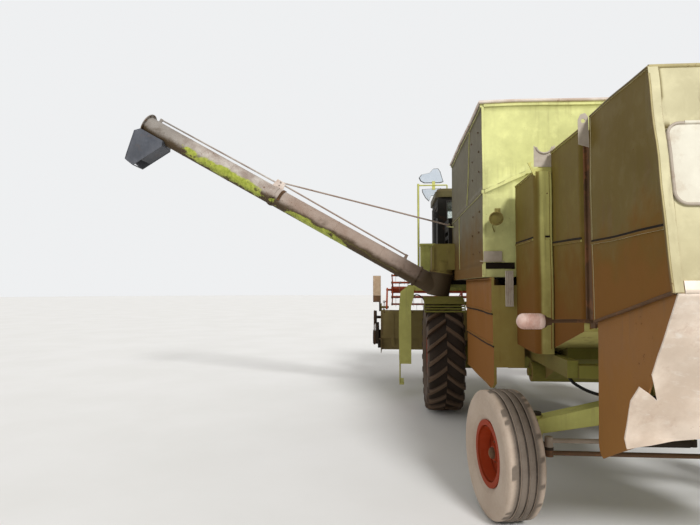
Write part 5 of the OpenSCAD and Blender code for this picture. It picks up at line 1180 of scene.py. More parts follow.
# Rear posts between hood and middle panels, with the plates that stand above them
posts = bmesh.new()
for side in (1, -1):
    sideBox(posts, side, (-3.930, 0.6405, 1.385), (-3.785, 0.6465, 2.600))
    sideBox(posts, side, (-3.792, 0.642, 1.385), (-3.770, 0.662, 2.600))
keep("rear_posts", posts, "rustyIron", "chassis", edge=0.003)


def holedPlate(outline, holes, thick):
    bm = bmesh.new()
    edges = []
    for loop in [outline] + holes:
        verts = [bm.verts.new(point) for point in loop]
        edges += [bm.edges.new((verts[i - 1], verts[i])) for i in range(len(verts))]
    bmesh.ops.triangle_fill(bm, edges=edges, use_beauty=True)
    made = bmesh.ops.extrude_face_region(bm, geom=bm.faces[:])
    raised = [one for one in made["geom"] if isinstance(one, bmesh.types.BMVert)]
    bmesh.ops.translate(bm, vec=thick, verts=raised)
    return bm


def circleAt(centre, u, v, radius, sides=16):
    return [Vector(centre) + Vector(u) * a + Vector(v) * b for a, b in circleOutline(radius, sides)]


plateOutline = [(0.678, 2.470), (0.742, 2.490), (0.744, 2.640), (0.728, 2.676), (0.700, 2.684),
    (0.682, 2.660)]
bracketOutline = [(0.640, 2.532), (0.800, 2.536), (0.800, 2.700), (0.640, 2.700)]
bracketSetup = {"x": -3.094, "notch": (0.722, 2.700), "radius": 0.062, "thick": 0.005, "rim": 0.0075}
for side, word in sides:
    outline = [at(-3.935, side * y, z) for y, z in plateOutline]
    hole = circleAt(at(-3.935, side * 0.713, 2.635), (0, 1, 0), (0, 0, 1), 0.013)
    keep("post_plate_" + word, holedPlate(outline, [hole], (0.006, 0, 0)), "greySheet", "chassis", edge=0.001)
    x, (notchY, notchZ) = bracketSetup["x"], bracketSetup["notch"]
    bracket = [at(x, side * y, z) for y, z in bracketOutline]
    ring = circleAt(at(x, side * notchY, notchZ), (0, 1, 0), (0, 0, 1), bracketSetup["radius"], 28)
    notch = sorted((point for point in ring if point.z < notchZ - 0.0005), key=lambda point: point.y)
    inward = notch[::-1] if side > 0 else notch
    cutPlate = bmesh.new()
    plate(cutPlate, bracket[:3] + inward + bracket[3:], (-bracketSetup["thick"], 0, 0))
    tube(cutPlate, [point - Vector((0.008, 0, 0)) for point in notch], bracketSetup["rim"], 10)
    keep("boom_bracket_" + word, cutPlate, "greySheet", "chassis")

# Middle panels: seams of the bulged guards with dark strips of painted shade along them, and their straps
panelStraps = [  # start and end on the left side, width, height, direction of the strip's side
    ((-2.46, 0.80, 2.495), (-3.05, 0.80, 2.495), 0.014, 0.012, (0, 0, 1)),
    ((-3.13, 0.678, 2.632), (-3.765, 0.678, 2.632), 0.012, 0.014, (0, 0, 1)),
    ((-3.128, 0.69, 1.15), (-3.128, 0.69, 2.49), 0.012, 0.020, (1, 0, 0)),
]
seams = bmesh.new()
strips = ((gapShadeStrips, 0.009, 0.001, 0.006, 0.013), (seams, -0.007, 0.003, 0.010, 0.014))
for side in (1, -1):
    for bm, lift, out, wide, high in strips:
        y, inner, x, z = side * (0.80 + out), side * (0.676 + out), -3.122 - out, 1.985 + lift
        lipAlong(bm, at(-2.46, y, z), at(-3.05, y, z), wide, high, 0.9)
        lipAlong(bm, at(x, side * 0.73, z), at(x, side * 0.68, z), wide, high, 0.9)
        lipAlong(bm, at(-3.13, inner, z - 0.05), at(-3.765, inner, z - 0.07), wide, high, 0.9)
    for start, end, wide, high, across in panelStraps:
        lipAlong(seams, mirrored(start, side), mirrored(end, side), wide, high, 0.9, side=across)
keep("panel_seams", seams, "bodyPaint", "chassis")

# Tank: rusty top rail, folded edges, bolts along the seams and in loose columns, dark strips of painted shade
# at its rear seam and low on its rear wall
tankSetup = {"rear": -2.333, "wall": 1.074, "railHalf": 1.086, "railTop": 3.302, "railX": (-2.346, 0.256),
    "columns": (-2.14, -1.72), "boltRows": 7, "boltFrom": 1.94, "boltStep": 0.19, "waist": 2.48}
tankFolds = [  # start and end on the left side, width, height, direction of the strip's side
    ((-2.333, 1.058, 1.72), (-2.333, 1.058, 2.462), 0.022, (0, 1, 0)),
    ((-2.333, 1.058, 2.50), (-2.333, 1.058, 3.26), 0.022, (0, 1, 0)),
    ((-1.30, 1.074, 2.50), (-1.55, 1.074, 3.26), 0.020, (1, 0, 0)),
    ((-0.60, 1.074, 1.82), (-0.60, 1.074, 2.46), 0.020, (1, 0, 0)),
]
rail, folds = bmesh.new(), bmesh.new()
half, top, (railRear, railFront) = tankSetup["railHalf"], tankSetup["railTop"], tankSetup["railX"]
corners = [at(railRear, -half, top), at(railRear, half, top), at(railFront, half, top),
    at(railFront, -half, top)]
tube(rail, [onSheet(place, 0.9) for place in loopRow(corners, 0.11)], 0.015, closed=True)
keep("tank_rail", rail, "pinkRust", "chassis")
for side, word in sides:
    for start, end, high, across in tankFolds:
        lipAlong(folds, mirrored(start, side), mirrored(end, side), 0.008, high, 0.9, side=across)
    for x in tankSetup["columns"]:
        for i in range(tankSetup["boltRows"]):
            z = tankSetup["boltFrom"] + i * tankSetup["boltStep"]
            shift = 0.014 * (i % 2) + 0.02 * math.sin(i * 2.3)
            if abs(z - tankSetup["waist"]) > 0.05:
                bolts.append((onSheet(at(x + shift, side * (tankSetup["wall"] - 0.003), z), 0.9),
                    (0, side, 0)))
    for bm, out, z, wide, high in ((gapShadeStrips, 0.001, 2.492, 0.004, 0.010), (folds, 0.002, 2.480, 0.006, 0.012)):
        x = tankSetup["rear"] - out
        lipAlong(bm, at(x, side * 1.05, z), at(x, side * 0.60, z + 0.2), wide, high, 0.9)
    # A dark plate of painted shade on the tank's rear wall stands for the shaded recess below it
    sideBox(gapShadeStrips, side, (-2.336, 0.79, 1.775), (-2.330, 1.06, 1.832))
    corner = bmesh.new()
    sideBox(corner, side, (-2.345, 0.90, 1.845), (-2.337, 1.065, 1.935))
    rod = ((-2.352, 1.10, 1.845), (-2.350, 1.00, 1.838), (-2.346, 0.88, 1.842))
    tube(corner, [mirrored(place, side) for place in rod], 0.004, 8)
    keep("tank_corner_" + word, corner, "greySheet", "chassis", edge=0.002)
keep("tank_folds", folds, "tankPaint", "chassis")
keep("sheet_gaps", gapShadeStrips, "gapShade", "chassis")
placeCopies("sheet_bolts", boltShape(0.008, 0.006), bolts, "rustyIron", "chassis", uneven=0.08)

# Side guards: a rolled lower lip on each sheet, a dark strip of painted shade for the gap under it, a ribbed
# strip at the rear
guardSetup = {"front": -0.745, "half": 1.015, "amount": 1.2, "lip": 0.008,
    # each sheet's lower edge, how far it stands in, its rear end, and whether a dark strip of painted shade
    # for a gap runs under it
    "sheets": [(1.388, 0.0, -2.43, True), (1.098, -0.006, -2.43, True), (0.706, -0.012, -2.30, False)]}
stripSetup = {"rear": -2.470, "from": 1.44, "to": 1.755, "ribs": 5, "first": 0.836, "step": 0.0145}
for side, word in sides:
    lips, gapShadeStrips = bmesh.new(), bmesh.new()
    end, amount = guardSetup["front"], guardSetup["amount"]
    for low, drop, start, gap in guardSetup["sheets"]:
        y = side * (guardSetup["half"] + drop)
        tube(lips, sheetRow(at(start, y, low), at(end, y, low), amount=amount), guardSetup["lip"])
        if gap:
            y -= side * 0.004
            lipAlong(gapShadeStrips, at(start, y, low - 0.015), at(end, y, low - 0.015), 0.010, 0.016, amount)
    keep("guard_gaps_" + word, gapShadeStrips, "gapShade", "side_guard_" + word)
    keep("guard_lips_" + word, lips, "guardPaint", "side_guard_" + word, edge=0.002)
    strip = bmesh.new()
    x, low, high = stripSetup["rear"], stripSetup["from"], stripSetup["to"]
    sideBox(strip, side, (x, 0.83, low), (x + 0.008, 0.90, high))
    for i in range(stripSetup["ribs"]):
        y = side * (stripSetup["first"] + i * stripSetup["step"])
        tube(strip, [at(x - 0.001, y, low + 0.005), at(x - 0.001, y, high - 0.005)], 0.004, 8)
    keep("ribbed_strip_" + word, strip, "greySheet", "chassis")
print("sheet details made")

# Lamps: ribbed marker pills on rods, the tank's bell lamp, round head lamps on the roof
lampSetup = {"marker": (-3.855, 0.975, 1.40), "radius": 0.050, "ribs": 7, "ribStep": 0.0125,
    "work": (-2.33, 0.955, 2.22), "head": (2.076, 3.005), "headY": (-0.9, -0.5, 0.5, 0.9)}
markerFoot = [(0.0, -0.075), (0.022, -0.075), (0.026, -0.05), (0.038, -0.040), (0.041, -0.030), (0.0, -0.028)]
bellProfile = [(0.0, -0.062), (0.020, -0.060), (0.036, -0.048), (0.048, -0.028), (0.055, 0.0), (0.059, 0.020),
    (0.063, 0.022), (0.063, 0.030), (0.056, 0.030), (0.050, 0.012), (0.0, 0.010)]
headProfile = [(0.0, 0.0), (0.040, 0.0), (0.052, 0.016), (0.058, 0.040), (0.060, 0.052), (0.054, 0.054),
    (0.052, 0.045), (0.0, 0.043)]
glassProfile = [(0.0, 0.044), (0.051, 0.046), (0.044, 0.050), (0.025, 0.0535), (0.0, 0.0545)]


def pillProfile(r):
    # Round ends, and ribs all along between them
    arc = [math.radians(angle) for angle in range(15, 90, 15)]
    outline = [(0.0, -r)] + [(r * math.sin(a), -r * math.cos(a)) for a in arc]
    for i in range(lampSetup["ribs"]):
        z = i * lampSetup["ribStep"]
        outline += [(r, z + 0.004), (r - 0.0022, z + 0.0075), (r, z + 0.011)]
    return outline + [(r * math.cos(a), 0.092 + r * 0.92 * math.sin(a)) for a in arc] + [(0.0, 0.138)]


for side, word in sides:
    x, y, z = lampSetup["marker"]
    matrix = aimed(at(x, side * y, z), (0, side, 0))
    pill = lathe(pillProfile(lampSetup["radius"]), matrix, steps=36)
    hidden = ("lamps",) if side > 0 else ()
    keep("marker_lamp_" + word, pill, "markerLens", "chassis", sharp=60, replaced=hidden)
    arm = lathe(markerFoot, matrix, steps=24)
    rod = [at(x, side * 0.62, z), at(x, side * 0.76, z + 0.004), at(x, side * 0.93, z)]
    tube(arm, bend(rod, 0.05), 0.011, 12)
    sideBox(arm, side, (x - 0.04, 0.638, z - 0.04), (x + 0.04, 0.650, z + 0.04))
    keep("marker_arm_" + word, arm, "rustyIron", "chassis")


def byLamp(*offsets):
    x, y, z = lampSetup["work"]
    return [at(x + dx, y + dy, z + dz) for dx, dy, dz in offsets]


bell = lathe(bellProfile, aimed(*byLamp((-0.115, 0.015, 0.005)), (-0.93, 0.10, -0.36)), steps=36)
hook = byLamp((-0.004, -0.02, 0.075), (-0.050, -0.012, 0.082), (-0.090, 0.0, 0.055), (-0.100, 0.01, 0.016))
cable = byLamp((-0.062, 0.012, -0.01), (-0.03, 0.03, -0.06), (-0.004, 0.01, -0.11))
tube(bell, bend(hook, 0.01), 0.009, 10)
box(bell, *byLamp((-0.008, -0.045, 0.045), (0.001, 0.005, 0.105)))
tube(bell, bend(cable, 0.01), 0.004, 8)
keep("work_lamp", bell, "elbowPaint", "chassis")
heads, glasses = bmesh.new(), bmesh.new()
for y in lampSetup["headY"]:
    aim = aimed(at(lampSetup["head"][0], y, lampSetup["head"][1]), (1, 0, 0))
    turned(heads, headProfile, aim, steps=32)
    turned(glasses, glassProfile, aim, steps=32)
keep("head_lamps", heads, "blackPlastic", "chassis")
keep("head_lamp_glass", glasses, "headLens", "chassis")

# Mirrors: posts and stays of tube, plates with a dark back and a bright face towards the rear
mirrorSetup = {"post": (1.56, 1.475), "arm": 3.262, "cabHalf": 1.22, "floor": 1.64, "roof": 3.08,
    "stay": 1.01}
upperMirror = [(246, 130), (200, 184), (66, 210), (6, 278), (-70, 283), (-108, 228), (-126, 163), (-158, 56),
    (-100, 40), (160, 40), (220, 74)]
lowerMirror = [(196, -59), (-120, -44), (-120, -117), (-62, -162), (42, -170), (80, -264), (138, -205),
    (188, -112)]
rightMirror = [(48, -72), (60, -44), (90, -32), (238, -32), (268, -44), (280, -72), (280, -282), (268, -310),
    (238, -322), (90, -322), (60, -310), (48, -282)]
tubes, backs, faces = bmesh.new(), bmesh.new(), bmesh.new()
(px, py), arm, stay = [mirrorSetup[key] for key in ("post", "arm", "stay")]
roof, reach = mirrorSetup["roof"], mirrorSetup["cabHalf"] + 0.18
tube(tubes, [at(px, py, mirrorSetup["floor"]), at(px, py, arm + 0.026)], 0.017, 14)
for start, end in (((py, arm), (stay, arm)), ((stay, roof), (stay, arm)), ((-stay, roof), (-stay, arm)),
        ((-stay, arm), (-reach, arm))):
    tube(tubes, [at(px, *start), at(px, *end)], 0.011, 12)
for y in (stay, -stay):
    turned(tubes, [(0, 0), (0.030, 0), (0.030, 0.006), (0.020, 0.010), (0, 0.010)],
        Matrix.Translation(at(px, y, roof)), steps=20)
box(tubes, at(px - 0.004, -1.40, arm - 0.072), at(px + 0.016, -1.36, arm + 0.012))
box(tubes, at(px, 1.20, arm - 0.072), at(px + 0.020, 1.25, arm + 0.068))
keep("mirror_posts", tubes, "freshPaint", "chassis", replaced=("mirrors",))
for outline, side in ((upperMirror, 1), (lowerMirror, 1), (rightMirror, -1)):
    places = [(side * (mirrorSetup["cabHalf"] + u / 1000), arm + v / 1000) for u, v in outline]
    middle = Vector((sum(p[0] for p in places) / len(places), sum(p[1] for p in places) / len(places)))
    plate(backs, [at(px + 0.013, u, v) for u, v in places], (0.028, 0, 0))
    small = [middle + (Vector(p) - middle) * 0.93 for p in places]
    plate(faces, [at(px + 0.0095, p.x, p.y) for p in small], (0.004, 0, 0))
keep("mirror_backs", backs, "blackPlastic", "chassis", edge=0.008)
keep("mirror_faces", faces, "mirrorFace", "chassis", edge=0.002)
print("lamps and mirrors made")

# Header: intake auger with opposed flights and fingers, knife sections, reel with spring tines

headerSetup = {"half": 2.092, "auger": (2.25, 0.80), "tubeRadius": 0.150, "outer": 0.238, "centre": 0.56,
    "pitch": 0.40, "knife": 2.80, "floor": 0.52, "back": 1.95}
reelSetup = {"centre": (2.80, 1.55), "half": 1.927, "bats": 6, "batRadius": 0.265, "step": 0.16, "tines": 11,
    "coil": 0.0205, "spiders": (-1, -0.34, 0.34, 1)}

ax, az = headerSetup["auger"]
reach = headerSetup["half"] - 0.11
barrelProfile = [(0.0, -2.098), (0.025, -2.098), (0.025, -reach), (0.148, -reach), (0.150, -reach + 0.004),
    (0.150, -0.575), (0.1525, -0.572), (0.1525, -0.556), (0.150, -0.553)]
barrel = lathe(bothEnds(barrelProfile), aimed(at(ax, 0, az), (0, 1, 0)), steps=56)
keep("intake_barrel", barrel, "workedSteel", "intake", replaced=("intake_auger",))
for side, word in sides:
    matrix = aimed(at(ax, side * headerSetup["centre"], az), (0, side, 0))
    flight("intake_flight_" + word, matrix, headerSetup["tubeRadius"] - 0.004, headerSetup["outer"],
        reach - headerSetup["centre"] - 0.01, headerSetup["pitch"], side, 0.006, "brightFlight", "intake")
finger, sockets = bmesh.new(), []
tube(finger, [(0, 0, -0.006), (0, 0, 0.05), (0, 0, 0.084)], 0.0065, 8)
turned(finger, [(0.0, -0.004), (0.022, -0.004), (0.022, 0.003), (0.014, 0.008), (0.0, 0.008)], Matrix(),
    steps=12)
for i in range(14):
    angle, y = math.radians(i * 137), -0.5 + i / 13.0
    out = Vector((math.cos(angle), 0, math.sin(angle)))
    sockets.append((at(ax, y, az) + out * 0.1505, out, (0, 1, 0)))
placeCopies("intake_fingers", finger, sockets, "shinySteel", "intake", uneven=0.0)

knifeSetup = {"section": 0.0762, "sections": 53, "first": -1.98, "guard": 0.152, "guards": 13}
section, guard = bmesh.new(), bmesh.new()
plate(section, [(-0.036, 0.0, 0.0), (0.036, 0.0, 0.0), (0.010, 0.068, 0.0), (-0.010, 0.068, 0.0)],
    (0, 0, 0.003))
tube(guard, [(0, -0.03, 0.008), (0, 0.02, 0.010), (0, 0.07, 0.006), (0, 0.108, 0.001)], 0,
    outline=[(-0.013, -0.005), (0.013, -0.005), (0.009, 0.007), (-0.009, 0.007)], side=(1, 0, 0))


def onKnife(back, y, up):
    # A place on the knife bar, for something that lies flat and points forward
    return at(headerSetup["knife"] - back, y, headerSetup["floor"] + up), (0, 0, 1), (1, 0, 0)


step, count = knifeSetup["guard"], knifeSetup["guards"]
spots = [onKnife(0.072, knifeSetup["first"] + i * knifeSetup["section"], 0.021)
    for i in range(knifeSetup["sections"])]
placeCopies("knife_sections", section, spots, "shinySteel", "header", uneven=0.0)
spots = [onKnife(0.055, i * step, 0.016) for i in range(-count, count + 1)]
placeCopies("knife_guards", guard, spots, "workedSteel", "header", uneven=0.0)
spots = [onKnife(0.11, (i + 0.5) * step, 0.018) for i in range(-count, count)]
placeCopies("knife_bolts", boltShape(0.008, 0.006), spots, "rustyIron", "header")

rx, rz = reelSetup["centre"]
half, end = reelSetup["half"], reelSetup["half"] - 0.02
# Spider arm and its web, seen from the hub: out, across and along the reel
spiderArm = [(0.058, 0.024, -0.003), (0.058, -0.024, -0.003), (0.262, -0.011, -0.003), (0.272, 0.0, -0.003),
    (0.262, 0.011, -0.003)]
spiderWeb = [(0.06, 0.003, -0.022), (0.06, -0.003, -0.022), (0.245, -0.003, -0.008), (0.245, 0.003, -0.008)]
frameBars = lathe(bothEnds([(0.0, -2.02), (0.020, -2.02), (0.020, -half), (0.062, -half)]),
    aimed(at(rx, 0, rz), (0, 1, 0)), steps=32)
bats, coil, spots, clamps = bmesh.new(), bmesh.new(), [], []
for i in range(reelSetup["bats"]):
    angle = math.radians(i * 60 + 30)
    out = Vector((math.cos(angle), 0, math.sin(angle)))
    across = Vector((-out.z, 0, out.x))
    bx, bz = rx + reelSetup["batRadius"] * out.x, rz + reelSetup["batRadius"] * out.z
    tube(bats, [at(bx, -half, bz), at(bx, 0, bz), at(bx, half, bz)], 0.0172, 14)
    for k in range(-reelSetup["tines"], reelSetup["tines"] + 1):
        spots.append((at(bx, (k + 0.4 * (i % 2)) * reelSetup["step"], bz), (0, 0, -1), (0, 1, 0)))
    for share in reelSetup["spiders"]:
        hub = at(rx, share * end, rz)
        for outline, thick in ((spiderArm, 0.006), (spiderWeb, 0.022)):
            corners = [hub + out * u + across * v + Vector((0, w, 0)) for u, v, w in outline]
            plate(frameBars, corners, (0, thick, 0))
        clamps.append((at(bx, share * end + 0.004, bz), (0, 1, 0)))
for share in reelSetup["spiders"]:
    turned(frameBars, [(0.060, -0.008), (0.098, -0.008), (0.098, 0.008), (0.060, 0.008)],
        aimed(at(rx, share * end, rz), (0, 1, 0)), steps=32, closed=True)
keep("reel_frame", frameBars, "redPaint", "reel_rotor", replaced=("reel",))
keep("reel_bats", bats, "redPaint", "reel_rotor")
winding = reelSetup["coil"]
turns = [(winding * math.cos(math.tau * i / 12), -0.018 + i * 0.0011, winding * math.sin(math.tau * i / 12))
    for i in range(31)]
straight = [(winding, 0.018, 0.02), (0.012, 0.018, 0.06), (0.004, 0.018, 0.11), (-0.004, 0.018, 0.168)]
tube(coil, turns + straight, 0.0030, 6)
placeCopies("reel_tines", coil, spots, "tineSteel", "reel_rotor", uneven=0.0)
ring = lathe([(0.0170, -0.010), (0.026, -0.010), (0.026, 0.010), (0.0170, 0.010)], Matrix(), steps=14,
    closed=True)
placeCopies("reel_clamps", ring, clamps, "rustyIron", "reel_rotor", uneven=0.0)

# Header back: ribs, and bolts along its upper rail, behind the trough
ribSetup = {"count": 9, "first": -1.90, "step": 0.475, "low": 0.60, "high": 1.14, "clear": 0.62, "bolt": 0.14,
    "section": [(-0.030, -0.003), (-0.014, -0.014), (0.014, -0.014), (0.030, -0.003), (0.030, 0.003),
    (-0.030, 0.003)]}
ribs, spots, x = bmesh.new(), [], headerSetup["back"]
for i in range(ribSetup["count"]):
    y = ribSetup["first"] + i * ribSetup["step"]
    if abs(y) > ribSetup["clear"]:
        ends = [at(x - 0.004, y, ribSetup["low"]), at(x - 0.004, y, ribSetup["high"])]
        tube(ribs, ends, 0, outline=ribSetup["section"], side=(0, 1, 0))
    spots += [(at(x - 0.001, y + dy, 1.178), (-1, 0, 0)) for dy in (-ribSetup["bolt"], ribSetup["bolt"])]
keep("header_ribs", ribs, "troughPaint", "header", edge=0.002)
placeCopies("header_bolts", boltShape(0.010, 0.008), spots, "rustyIron", "header")

# Left end of the header: tan board with its foot, chains between the drive wheels
boardSetup = {"x": (1.982, 1.9855), "y": (2.100, 2.230)}
boards = (("header_board", "tanBoard", 1.456, 1.794), ("header_board_foot", "rustyIron", 1.350, 1.452))
(x0, x1), (y0, y1) = boardSetup["x"], boardSetup["y"]
for name, finish, low, high in boards:
    board = bmesh.new()
    box(board, at(x0, y0, low), at(x1, y1, high))
    keep(name, board, finish, "header", edge=0.002)


def chainRun(name, wheels, y, body):
    # Links round two wheels given as (x, z, radius): two straight runs and two arcs
    (ax0, az0, r0), (bx0, bz0, r1) = wheels
    flat = Vector((bx0 - ax0, bz0 - az0))
    base = math.atan2(flat.y, flat.x)
    lean = math.acos(max(-1.0, min(1.0, (r0 - r1) / flat.length)))
    points = []
    for cx, cz, r, start, end in ((bx0, bz0, r1, base - lean, base + lean),
            (ax0, az0, r0, base + lean, base - lean + math.tau)):
        count = max(3, int(abs(end - start) * r / 0.03))
        points += [Vector((cx + r * math.cos(start + (end - start) * i / count), 0,
            cz + r * math.sin(start + (end - start) * i / count))) for i in range(count + 1)]
    loop, spots = points + points[:1], []
    for a, b in zip(loop, loop[1:]):
        count = max(1, round((b - a).length / 0.028))
        for i in range(count):
            spots.append((at(0, y, 0) + a.lerp(b, (i + 0.5) / count), (b - a).normalized(), (0, 1, 0)))
    link = bmesh.new()
    for half in (-0.006, 0.006):
        box(link, (-0.007, half - 0.0012, -0.0145), (0.007, half + 0.0012, 0.0145))
    tube(link, [(0, -0.009, 0.012), (0, 0.009, 0.012)], 0.0045, 6)
    placeCopies(name, link, spots, "rustyIron", body, uneven=0.0)


chainRun("header_chain_long", ((ax, az, 0.192), (2.01, 1.09, 0.112)), 2.205, "header")
chainRun("header_chain_short", ((ax, az, 0.196), (2.47, 0.71, 0.122)), 2.222, "header")
print("header made")

# Unloading auger: bolts, end ring, seams; spout flange
foot, rise, tubeLength = augerSetup["foot"], math.radians(augerSetup["rise"]), augerSetup["length"]
outDir = Vector((0, math.cos(rise), math.sin(rise)))
upDir = Vector((0, -math.sin(rise), math.cos(rise)))


def roundTube(angle):
    # The direction away from the tube's axis; 0 is up
    angle = math.radians(angle)
    return Vector((1, 0, 0)) * math.sin(angle) + upDir * math.cos(angle)


def onTube(along, angle, radius):
    return at(*foot) + outDir * along + roundTube(angle) * radius


seams, spots = bmesh.new(), []
for along, radius, wide in ((0.92, 0.1315, 0.012), (1.62, 0.1315, 0.010), (3.30, 0.1315, 0.012),
        (4.05, 0.1315, 0.010)):
    turned(seams, [(radius - 0.003, -wide), (radius + 0.001, -wide * 0.6), (radius + 0.001, wide * 0.6),
        (radius - 0.003, wide)], aimed(onTube(along, 0, 0), outDir), steps=48, closed=True)
for along, height in ((2.58, 0.060), (0.57, 0.050)):
    for angle in (-14, 14):
        spots += [(onTube(along + height / 2, angle + 180, 0.139), roundTube(angle + 180), outDir)]
    for angle in (90, 270):
        box(seams, onTube(along, angle, 0.137) - Vector((0.012, 0.02, 0.02)),
            onTube(along + height, angle, 0.137) + Vector((0.012, 0.0, 0.0)))
spots += [(onTube(tubeLength, angle, 0.158), -outDir, upDir) for angle in range(0, 360, 36)]
spots += [(onTube(0.329, angle, 0.141), -outDir, upDir) for angle in range(15, 360, 36)]
keep("auger_seams", seams, "augerPaint", "unloader")
placeCopies("auger_bolts", boltShape(0.009, 0.008), spots, "rustyIron", "unloader")


def onLug(along, height):
    return onTube(along, 0, height) + Vector((-0.012, 0, 0))


outline = [onLug(2.53, 0.128), onLug(2.70, 0.128), onLug(2.675, 0.232), onLug(2.55, 0.232)]
holes = [circleAt(onLug(2.612, height), outDir, upDir, radius) for height,
    radius in ((0.205, 0.014), (0.160, 0.011))]
keep("auger_lug", holedPlate(outline, holes, (-0.005, 0, 0)), "pinkRust", "unloader", edge=0.001)
strap = bmesh.new()
tube(strap, [onTube(2.50, angle, 0.1385) for angle in range(258, 372, 6)], 0, outline=rectangle(0.003, 0.021),
    side=-outDir.cross(upDir))
keep("auger_strap", strap, "rustyIron", "unloader", edge=0.001)


def onSpout(x, along, up):
    tip = at(*foot) + outDir * tubeLength
    return tip + Vector((x, 0, 0)) + outDir * along + upDir * up


flange = bmesh.new()
mouth = [(-0.150, -0.154, -0.584), (0.150, -0.154, -0.584), (0.150, -0.006, -0.564), (-0.150, -0.006, -0.564)]
tube(flange, loopRow([onSpout(*corner) for corner in mouth], 0.05), 0.008, closed=True)
for x in (-0.150, 0.150):
    tube(flange, row(onSpout(x, -0.387, -0.165), onSpout(x, -0.154, -0.584), 0.06), 0.006)
    tube(flange, row(onSpout(x, 0.075, -0.150), onSpout(x, -0.006, -0.564), 0.06), 0.006)
keep("spout_edges", flange, "spoutSheet", "unloader")
print("auger made")

# Tank inside: the cross auger as thin flights round its tube
crossProfile = [(0.0, -1.068), (0.022, -1.068), (0.022, -1.030), (0.036, -1.030)]
low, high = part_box("tank_auger")
crossMid, crossRadius = (low + high) / 2, (high.x - low.x) / 2
barrel = lathe(bothEnds(crossProfile), aimed(crossMid, (0, 1, 0)), steps=24)
keep("cross_barrel", barrel, "workedSteel", "cross_rotor", replaced=("tank_auger",))
flight("cross_flight", aimed(crossMid - Vector((0, 1.02, 0)), (0, 1, 0)), 0.033, crossRadius - 0.002,
    2.04, 0.30, 1, 0.005, "brightFlight", "cross_rotor")

# Cab: seat with two cushions, column and wheel, levers and pedals
cabSetup = {
    "floor": 1.66, "seatX": 1.28, "wheelX": 1.62, "wheelUp": 0.62, "wheelRadius": 0.185, "wheelTilt": -12,
    # levers: place along the cab and height; pedals: place across
    "levers": ((-0.05, 0.20), (0.04, 0.24), (0.12, 0.18)), "leverY": -0.315,
    "pedals": (-0.20, 0.14, 0.24)}
seatSetup = {"bellows": 6, "fold": 0.044, "half": 0.085, "push": 0.009, "channels": (-0.25, 0.0, 0.25)}
sx, base = cabSetup["seatX"], cabSetup["floor"]


def bySeat(x, y, z):
    return at(sx + x, y, base + z)


stand = bmesh.new()
box(stand, bySeat(-0.10, -0.11, 0), bySeat(0.12, 0.11, 0.02))
for i in range(seatSetup["bellows"]):
    half, up = seatSetup["half"] + 0.012 * (i % 2), 0.02 + i * seatSetup["fold"]
    box(stand, bySeat(-0.02 - half, -half, up), bySeat(-0.02 + half, half, up + 0.042))
box(stand, bySeat(-0.20, -0.215, 0.286), bySeat(0.205, 0.215, 0.312))
shell = [(-0.215, -0.205, 0.32), (-0.215, 0.205, 0.32), (-0.262, 0.195, 0.84), (-0.262, -0.195, 0.84)]
plate(stand, [bySeat(*corner) for corner in shell], (-0.014, 0, -0.001))
keep("seat_stand", stand, "blackPlastic", "chassis", edge=0.006, replaced=("controls",))


def cushion(name, matrix, width, depth, thick):
    # A crowned closed pad; the cloth simulation plumps it before its seams are drawn in
    bm = bmesh.new()
    bmesh.ops.create_cube(bm, size=1.0)
    bmesh.ops.subdivide_edges(bm, edges=bm.edges, cuts=7, use_grid_fill=True)
    for vert in bm.verts:
        u, v, w = vert.co.x * 2, vert.co.y * 2, vert.co.z * 2
        pull = 1 - 0.045 * (1 - abs(u)) * (abs(v) > 0.98) - 0.045 * (1 - abs(v)) * (abs(u) > 0.98)
        crown = 0.80 + 0.20 * (1 - u * u) * (1 - v * v)
        vert.co = Vector((u * width / 2 * pull, v * depth / 2 * pull,
            w * thick / 2 * (crown if w > 0 else 0.8)))
    mesh = bpy.data.meshes.new(name)
    bm.to_mesh(mesh)
    bm.free()
    worked = bpy.data.objects.new("worked", mesh)
    scene.collection.objects.link(worked)
    remesh = worked.modifiers.new("remesh", "REMESH")
    remesh.mode, remesh.voxel_size = "VOXEL", 0.008
    made = bpy.data.meshes.new_from_object(worked.evaluated_get(bpy.context.evaluated_depsgraph_get()))
    worked.modifiers.clear()
    worked.data = made
    start = [vert.co.copy() for vert in made.vertices]
    cloth = worked.modifiers.new("cloth", "CLOTH")
    cloth.settings.use_pressure, cloth.settings.uniform_pressure_force = True, 4.0
    cloth.settings.effector_weights.gravity = 0.0
    cloth.point_cache.frame_start, cloth.point_cache.frame_end = 1, 20
    for step in range(1, 21):
        scene.frame_set(step)
    mesh = bpy.data.meshes.new_from_object(worked.evaluated_get(bpy.context.evaluated_depsgraph_get()))
    scene.frame_set(1)
    bpy.data.objects.remove(worked)
    cap = 0.012
    for vert, old in zip(mesh.vertices, start):
        move = vert.co - old
        vert.co = old + (move if move.length < cap else move.normalized() * cap)
    # Three sewn channels across the upper face
    for vert in mesh.vertices:
        if vert.co.z > 0.1 * thick:
            for channel in seatSetup["channels"]:
                near = (vert.co.x / width - channel) / 0.035
                vert.co.z -= seatSetup["push"] * math.exp(-near * near)
    mesh.transform(matrix)
    piece = keep(name, mesh, "seatFabric", "chassis", sharp=180)
    smooth = piece.modifiers.new("smooth", "SUBSURF")
    smooth.levels = smooth.render_levels = 1


cushion("seat_cushion", Matrix.Translation(bySeat(0.005, 0, 0.352)), 0.385, 0.41, 0.074)
back = Matrix.Translation(bySeat(-0.196, 0, 0.615)) @ Matrix.Rotation(math.radians(84.5), 4, "Y")
cushion("seat_back", back, 0.44, 0.39, 0.062)

